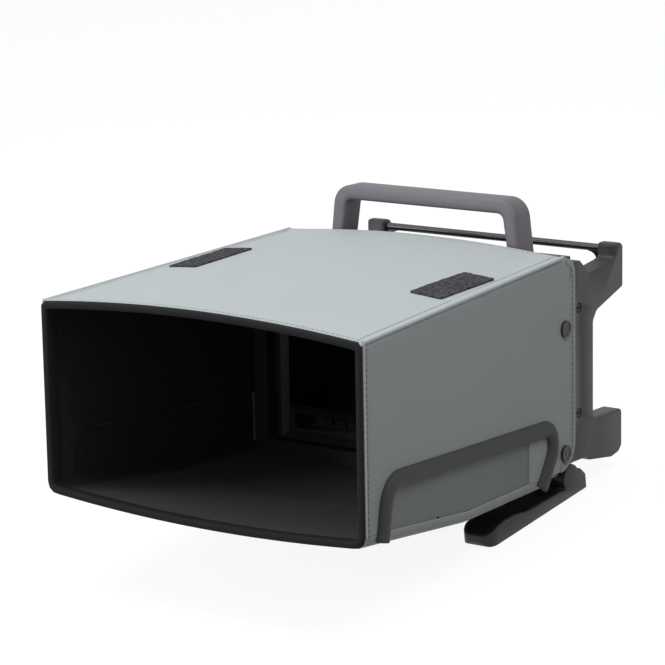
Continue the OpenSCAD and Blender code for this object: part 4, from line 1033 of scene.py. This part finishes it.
class MONITOR_OT_seams(bpy.types.Operator):
    """Sew the welts, the edge tapes and the rows of stitches"""
    bl_idname = "monitor.seams"
    bl_label = "Seams"

    def execute(self, context):
        form = HoodForm(context.scene.monitor_hood)
        fold_y = FOLD_BACK - form.length
        ys = steps(1, fold_y, 70)
        stitch_y = STITCH_IN - form.length
        welts, hems, top_rows, side_rows = [], [], [], []
        for side in SIDES.values():
            line = [Vector((side * (form.half(y) - WELT_IN), y, form.top(y) - WELT_IN)) for y in ys]
            frames = [(Vector((side, 0, 1)).normalized(), Vector((-side, 0, 1)).normalized())] * len(line)
            welts.append(sweep("welt", line, tube_outline(WELT_R), frames))
            # fold of the cloth behind the mouth's tape; on the side it gets the top's lighter cloth, painted
            # light along the side's front edge, besides the light that its rounding catches
            front = [Vector((fold_y, z)) for z in steps(form.low(fold_y) + FLOOR_R, form.top(fold_y) - 1, 30)]
            welts.append(sweep("front_fold", lifted(form, side, front, -FOLD_IN), tube_outline(FOLD_R),
                               side_frames(side, front)))
            # along the ridge, on the top
            line = [Vector(form.on_top(y, side * (form.seam(y, TOP_R) - RIDGE_STITCH_IN))) for y in ys]
            top_rows.append(stitches("row", line, Vector((0, 0, 1)), form.stitch))
            # down the side beside the mouth, and round the side's rear edge
            line = [Vector(form.on_side(side, stitch_y, z)) for z in
                    steps(form.low(stitch_y) + 6, form.top(stitch_y) - 4, 40)]
            side_rows.append(stitches("row", line, Vector((side, 0, 0)), form.stitch))
            edge = resample([p for p in side_outline(form) if p.x > OPENING_REAR + 8], 2)
            line = lifted(form, side, grow(edge, -HEM_STITCH_IN), HEM_STITCH_OUT)
            side_rows.append(stitches("row", line, Vector((side, 0, 0)), form.stitch))
            hems.append(sweep("rear_hem", lifted(form, side, edge), REAR_HEM, side_frames(side, edge)))
            # the flap's sewn lower edge
            low_edge = [Vector((y, form.low(y) + FLAP_UP - BEAD_DOWN))
                        for y in steps(form.opening[-1][0], OPENING_REAR, 60)]
            hems.append(sweep("flap_seam", lifted(form, side, low_edge, -BEAD_IN), tube_outline(BEAD_R),
                              side_frames(side, low_edge)))
        seam = form.seam(fold_y, TOP_R) - 1
        line = [Vector(form.on_top(fold_y, s, FOLD_IN)) for s in steps(-seam, seam, 60)]
        welts.append(sweep("front_fold", line, tube_outline(FOLD_R),
                           [(Vector((0, 0, 1)), Vector((0, 1, 0)))] * len(line)))
        # across the top beside the mouth and the rear edge
        for y in (stitch_y, -STITCH_IN):
            seam = form.seam(y, TOP_R) - 6
            line = [Vector(form.on_top(y, s)) for s in steps(-seam, seam, 60)]
            top_rows.append(stitches("row", line, Vector((0, 0, 1)), form.stitch))
        for made in welts + hems:
            smooth(made, 60)
        # the welts and folds take the top's cloth; on the sides' front folds this lighter cloth is painted
        # light
        settle(merge(welts, "ridge_welts"), "hood", "top_cloth")
        settle(merge(hems, "side_hems"), "hood", "side_cloth")
        # the threads' darker colour is painted shade of the stitch dimples
        settle(merge(top_rows, "top_stitches"), "hood", "top_thread")
        settle(merge(side_rows, "side_stitches"), "hood", "side_thread")
        return {"FINISHED"}


class MONITOR_OT_patches(bpy.types.Operator):
    """Sew the two hook patches on the top"""
    bl_idname = "monitor.patches"
    bl_label = "Hook Patches"

    def execute(self, context):
        form = HoodForm(context.scene.monitor_hood)
        length, width, corner, middle_y, inwards = 65, 25, 2, -112, 10
        lift, thickness = 1.15, 1.3
        made = []
        for side in SIDES.values():
            middle = side * (form.half(middle_y) - inwards - width / 2)
            left, right = middle - width / 2, middle + width / 2
            front, rear = middle_y - length / 2, middle_y + length / 2
            start = ((left + right) / 2, front)
            outline = rounded([start, (right, front), (right, rear), (left, rear), (left, front), start],
                              [0, corner, corner, corner, corner, 0], 4)[:-1]
            cuts = [((0, y), (0, 1)) for y in steps(front, rear, 50)[1:-1]]
            cuts += [((x, 0), (1, 0)) for x in steps(left, right, 19)[1:-1]]

            def place(x, y):
                rough = ripple(x, y, 1.7, 31) * 0.35 + ripple(x, y, 6, 32) * 0.2
                point = form.on_top(y, x)
                return Vector((x, y, point[2] + top_relief(form, y, x) + lift + rough))

            made.append(outward(panel("patch", outline, cuts, place), (0, 0, 1)))
        patches = merge(made, "hook_pile_patches")
        modify(patches, "SOLIDIFY", thickness=thickness, offset=-1)
        smooth(patches, 60)
        settle(patches, "hood", "hook", ["hook_patches"])
        return {"FINISHED"}


class MONITOR_OT_studs(bpy.types.Operator):
    """Turn the dished studs that hold the hood"""
    bl_idname = "monitor.studs"
    bl_label = "Studs"

    def execute(self, context):
        form = HoodForm(context.scene.monitor_hood)
        y, heights, cap_r, cap_t, shank_r, tip_x = 2, (20.5, 110), 6, 2, 3, 111.4
        rim, slope, dish_depth, dish_flat, middle_slope, middle_rise = 1.3, 0.6, 0.7, 2.1, 0.4, 0.45
        cap_x = form.half(y - cap_r)
        made = []
        for side in SIDES.values():
            for z in heights:
                deselect()
                bpy.ops.mesh.primitive_cylinder_add(vertices=40, radius=cap_r, depth=cap_t,
                                                    location=(0, 0, cap_t / 2))
                stud = take("stud")
                into_mesh(stud)
                with Editing(stud) as edit:
                    edit.select("faces", lambda f: f.normal.z > 0.9)
                    bpy.ops.mesh.inset(thickness=rim)
                    bpy.ops.mesh.inset(thickness=slope, depth=-dish_depth)
                    bpy.ops.mesh.inset(thickness=dish_flat)
                    bpy.ops.mesh.inset(thickness=middle_slope, depth=middle_rise)
                    edit.select("faces", lambda f: f.normal.z < -0.9)
                    bpy.ops.mesh.inset(thickness=cap_r - shank_r)
                    bpy.ops.mesh.extrude_region_move(
                        TRANSFORM_OT_translate={"value": (0, 0, tip_x - cap_x)})
                    edit.select("edges", lambda e: e.calc_face_angle(0) > 0.9
                                and min(v.co.z for v in e.verts) > -0.1)
                    bpy.ops.mesh.bevel(offset=0.25, segments=2)
                turn = Matrix.Rotation(math.radians(90 * side), 4, "Y")
                stud.data.transform(Matrix.Translation((side * cap_x, y, z)) @ turn)
                made.append(stud)
        studs = merge(made, "dished_studs")
        smooth(studs, 40)
        settle(studs, "hood", "stud", ["hood_studs"])
        return {"FINISHED"}


# ---------------------------------------------------------------- hard parts

class MONITOR_OT_handle(bpy.types.Operator):
    """Bend the carrying handle from one bar and round its edges"""
    bl_idname = "monitor.handle"
    bl_label = "Handle"

    def execute(self, context):
        base, width, height, depth, band, lean, front = 154, 166, 43, 21, 10.5, 5, 2
        outer_r, inner_r, edge_r = 15, 5, 2.6
        flange_w, flange_t, flange_edge = 20, 4, 0.9
        outer, inner = (rounded([(-half, 0), (lean - half, top), (half - lean, top), (half, 0)],
                                [0, r, r, 0], 12)
                        for half, top, r in ((width / 2, height, outer_r),
                                             (width / 2 - band, height - band, inner_r)))
        handle = plate_from("bent_handle", outer + inner[::-1], depth)
        with Editing(handle) as edit:
            edit.select("edges", lambda e: e.calc_face_angle(0) > 1
                        and max(v.co.z for v in e.verts) > 1)
            bpy.ops.mesh.bevel(offset=edge_r, segments=4)
        smooth(handle, 40)
        pieces = [handle]
        for side in SIDES.values():
            deselect()
            flange_x = side * (width / 2 - band - flange_w / 2 + 1)
            bpy.ops.mesh.primitive_cube_add(size=1, location=(flange_x, 0, flange_t / 2))
            flange = take("flange")
            with Editing(flange) as edit:
                bpy.ops.mesh.select_all(action="SELECT")
                bpy.ops.transform.resize(value=(flange_w, depth, flange_t))
                edit.select("edges", lambda e: min(v.co.z for v in e.verts) > 0)
                bpy.ops.mesh.bevel(offset=flange_edge, segments=3)
            into_mesh(flange)
            smooth(flange, 40)
            pieces.append(flange)
        handle = merge(pieces, "bent_handle")
        handle.data.transform(Matrix.Translation((0, front + depth / 2, base)))
        settle(handle, "monitor", "handle", ["carry_handle"])
        return {"FINISHED"}


def plate_from(name, outline, depth):
    """A flat outline of (x, z) points, filled and extruded along y, centred on y = 0."""
    deselect()
    made = from_points(name, [(p.x, -depth / 2, p.y) for p in outline], [list(range(len(outline)))])
    with Editing(made):
        bpy.ops.mesh.select_all(action="SELECT")
        bpy.ops.mesh.extrude_region_move(TRANSFORM_OT_translate={"value": (0, depth, 0)})
        bpy.ops.mesh.select_all(action="SELECT")
        bpy.ops.mesh.normals_make_consistent(inside=False)
    return made


EASED = [
    # frame node, new name, bevel in mm, body, material, slot
    ("front_housing", "front_shell", 0.7, "monitor", "housing", "housing"),
    ("rear_housing", "rear_shell", 0.7, "monitor", "rear", "housing"),
    ("guard_frame_left", "guard_left", 1.3, "monitor", "guard", "guard"),
    ("guard_frame_right", "guard_right", 1.3, "monitor", "guard", "guard"),
    ("bumper_pads", "bumpers", 0.6, "monitor", "rubber", "rubber"),
    ("foot_left", "foot_body_left", 1.0, "foot_left", "foot", "foot"),
    ("foot_right", "foot_body_right", 1.0, "foot_right", "foot", "foot"),
    ("foot_tread_left", "tread_left", 0.3, "foot_left", "rubber", "rubber"),
    ("foot_tread_right", "tread_right", 0.3, "foot_right", "rubber", "rubber"),
    ("connector_plate", "back_plate", 0.25, "monitor", "plate", "plate"),
]


class MONITOR_OT_moulded(bpy.types.Operator):
    """Break the edges of the moulded parts"""
    bl_idname = "monitor.moulded"
    bl_label = "Moulded Parts"

    def execute(self, context):
        for row in EASED:
            eased(*row)
        return {"FINISHED"}


NODE_FINISH = {
    "display_window": "glass", "lcd_panel": "panel", "backlight_unit": "diffuser", "panel_chassis": "sheet",
    "main_board": "board", "power_board": "board", "control_board": "board", "heat_sink": "sink",
    "loudspeaker": "socket", "status_lamp": "lamp", "video_jacks": "jack", "power_socket": "socket",
    "remote_socket": "jack", "housing_screws": "screw", "tripod_bush": "brass", "handle_screws": "screw",
    "guard_screws": "screw", "power_button": "button", "hinge_pin_left": "pin", "hinge_pin_right": "pin",
    "upper_guard_bar": "bar", "lower_guard_bar": "bar",
    "foot_pads_left": "rubber", "foot_pads_right": "rubber", "hood_collar": "collar",
}


class MONITOR_OT_dress(bpy.types.Operator):
    """Give every remaining node of the frame its finish"""
    bl_idname = "monitor.dress"
    bl_label = "Dress Frame"

    def execute(self, context):
        for name, node in frame["nodes"].items():
            finish = NODE_FINISH.get(name) or ("knob" if name.endswith("_knob") else "button")
            node.data.materials.clear()
            node.data.materials.append(MATERIALS[finish])
        return {"FINISHED"}


# ---------------------------------------------------------------- studio

CAMERA_PLACE = (1162.39, -1665.66, 513.94)      # in the level head, in millimetres
AZIMUTH, ELEVATION, ROLL = 36.735, 11.63, -1.087
FLOOR_PAINT, FLOOR_BOUNCE = 0.85, 0.16          # how pale the floor is to the eye, and to other light
FLOOR_GLOW, FLOOR_GLOW_SHARE = 1.1, 0.82
LIGHTS = [
    # name, place and aim in metres, width, and the studio's value that holds its power
    ("key_overhead", (-0.35, -0.15, 1.35), (0, 0, 0.1), 1.1, "key"),
    ("fill_front_left", (-1.1, -1.5, 0.7), (0, 0, 0.1), 0.9, "fill"),
    ("side_right", (0.6, -0.1, 0.85), (0.13, 0.0, 0.16), 0.4, "side"),
]


def photo_camera(studio):
    """The camera that took the photograph: its place in the level head, leant like the head."""
    azimuth, elevation = math.radians(AZIMUTH), math.radians(ELEVATION)
    ahead = Vector((-math.sin(azimuth) * math.cos(elevation), math.cos(azimuth) * math.cos(elevation),
                    -math.sin(elevation)))
    right = Vector((math.cos(azimuth), math.sin(azimuth), 0))
    up = right.cross(ahead)
    turn = Matrix((right, up, -ahead)).transposed() @ Matrix.Rotation(math.radians(ROLL), 3, "Z")
    camera = link("photo_camera", bpy.data.cameras.new("photo_camera"))
    camera.data.lens = studio.lens
    camera.data.clip_end = 30
    camera.matrix_world = Matrix.Translation(LEAN @ Vector(CAMERA_PLACE)) @ (
        LEAN.to_quaternion().to_matrix() @ turn).to_4x4()
    bpy.context.scene.camera = camera


def soft_light(name, place, aim, size, power):
    """A square area light that looks at a point."""
    lamp = bpy.data.lights.new(name, "AREA")
    lamp.shape, lamp.size, lamp.energy = "SQUARE", size, power
    made = link(name, lamp)
    made.location = place
    made.rotation_euler = (Vector(aim) - Vector(place)).to_track_quat("-Z", "Y").to_euler()


def seen_directly(tree):
    """1 for camera, glossy and transmission rays."""
    path = tree.nodes.new("ShaderNodeLightPath")
    add = [tree.nodes.new("ShaderNodeMath") for _ in range(2)]
    for made in add:
        made.operation = "MAXIMUM"
    tree.links.new(path.outputs["Is Camera Ray"], add[0].inputs[0])
    tree.links.new(path.outputs["Is Glossy Ray"], add[0].inputs[1])
    tree.links.new(add[0].outputs[0], add[1].inputs[0])
    tree.links.new(path.outputs["Is Transmission Ray"], add[1].inputs[1])
    return add[1].outputs[0]


def mixed(tree, factor, first, second):
    """A mix of two shaders by a number or by another node's socket."""
    mix = tree.nodes.new("ShaderNodeMixShader")
    if isinstance(factor, float):
        mix.inputs[0].default_value = factor
    else:
        tree.links.new(factor, mix.inputs[0])
    tree.links.new(first.outputs[0], mix.inputs[1])
    tree.links.new(second.outputs[0], mix.inputs[2])
    return mix


def floor_finish():
    """White where it is seen, with the object's shadow on it; dim for the light that it throws back."""
    material = bpy.data.materials.new("studio_floor")
    material.use_nodes = True
    tree = material.node_tree
    paint = tree.nodes["Principled BSDF"]
    paint.inputs["Base Color"].default_value = (*[FLOOR_PAINT] * 3, 1)
    paint.inputs["Roughness"].default_value = 0.9
    dim = tree.nodes.new("ShaderNodeBsdfDiffuse")
    dim.inputs["Color"].default_value = (*[FLOOR_BOUNCE] * 3, 1)
    glow = tree.nodes.new("ShaderNodeEmission")
    glow.inputs["Strength"].default_value = FLOOR_GLOW
    white = mixed(tree, FLOOR_GLOW_SHARE, paint, glow)
    mix = mixed(tree, seen_directly(tree), dim, white)
    tree.links.new(mix.outputs[0], tree.nodes["Material Output"].inputs[0])
    return material


class MONITOR_OT_studio(bpy.types.Operator):
    """Set up the white floor, the lights and the camera"""
    bl_idname = "monitor.studio"
    bl_label = "Studio"

    def execute(self, context):
        studio = context.scene.monitor_studio
        photo_camera(studio)
        world = bpy.data.worlds.new("studio_world")
        context.scene.world = world
        world.use_nodes = True
        tree = world.node_tree
        sky = tree.nodes["Background"]
        white = tree.nodes.new("ShaderNodeBackground")
        sky.inputs["Color"].default_value = (1, 1, 1, 1)
        sky.inputs["Strength"].default_value = studio.ambient
        white.inputs["Strength"].default_value = 1
        mix = mixed(tree, seen_directly(tree), sky, white)
        tree.links.new(mix.outputs[0], tree.nodes["World Output"].inputs[0])
        deselect()
        bpy.ops.mesh.primitive_plane_add(size=24)
        floor = take("studio_floor")
        floor.data.materials.append(floor_finish())
        for name, place, aim, size, power in LIGHTS:
            soft_light(name, place, aim, size, getattr(studio, power))
        context.scene.view_settings.view_transform = "Standard"
        return {"FINISHED"}


class MONITOR_OT_finishes(bpy.types.Operator):
    """Mix the finishes of cloths, plastics and metals"""
    bl_idname = "monitor.finishes"
    bl_label = "Finishes"

    def execute(self, context):
        make_materials(context.scene.monitor_finishes)
        return {"FINISHED"}


OPERATORS = [MONITOR_OT_finishes, MONITOR_OT_studio, MONITOR_OT_hood_cloth, MONITOR_OT_lining,
             MONITOR_OT_mouth, MONITOR_OT_piping, MONITOR_OT_seams, MONITOR_OT_patches, MONITOR_OT_studs,
             MONITOR_OT_handle, MONITOR_OT_moulded, MONITOR_OT_dress]


class MONITOR_PT_panel(bpy.types.Panel):
    """Sizes, colours and steps of the monitor"""
    bl_idname = "MONITOR_PT_panel"
    bl_label = "Field Monitor"
    bl_space_type = "VIEW_3D"
    bl_region_type = "UI"
    bl_category = "Field Monitor"

    def draw(self, context):
        for group in (context.scene.monitor_hood, context.scene.monitor_finishes,
                      context.scene.monitor_studio):
            box = self.layout.box()
            for name in group.__annotations__:
                box.prop(group, name)
        for operator in OPERATORS:
            self.layout.operator(operator.bl_idname)


GROUPS = {"monitor_hood": HoodSizes, "monitor_finishes": Finishes, "monitor_studio": Studio}


def register():
    for group in GROUPS.values():
        bpy.utils.register_class(group)
    for name, group in GROUPS.items():
        setattr(bpy.types.Scene, name, PointerProperty(type=group))
    for made in [*OPERATORS, MONITOR_PT_panel]:
        bpy.utils.register_class(made)


def unregister():
    for made in [MONITOR_PT_panel, *reversed(OPERATORS)]:
        bpy.utils.unregister_class(made)
    for name, group in GROUPS.items():
        delattr(bpy.types.Scene, name)
        bpy.utils.unregister_class(group)


def main():
    register()
    for operator in OPERATORS:
        getattr(bpy.ops.monitor, operator.bl_idname.split(".")[1])()


if __name__ == "__main__":
    main()
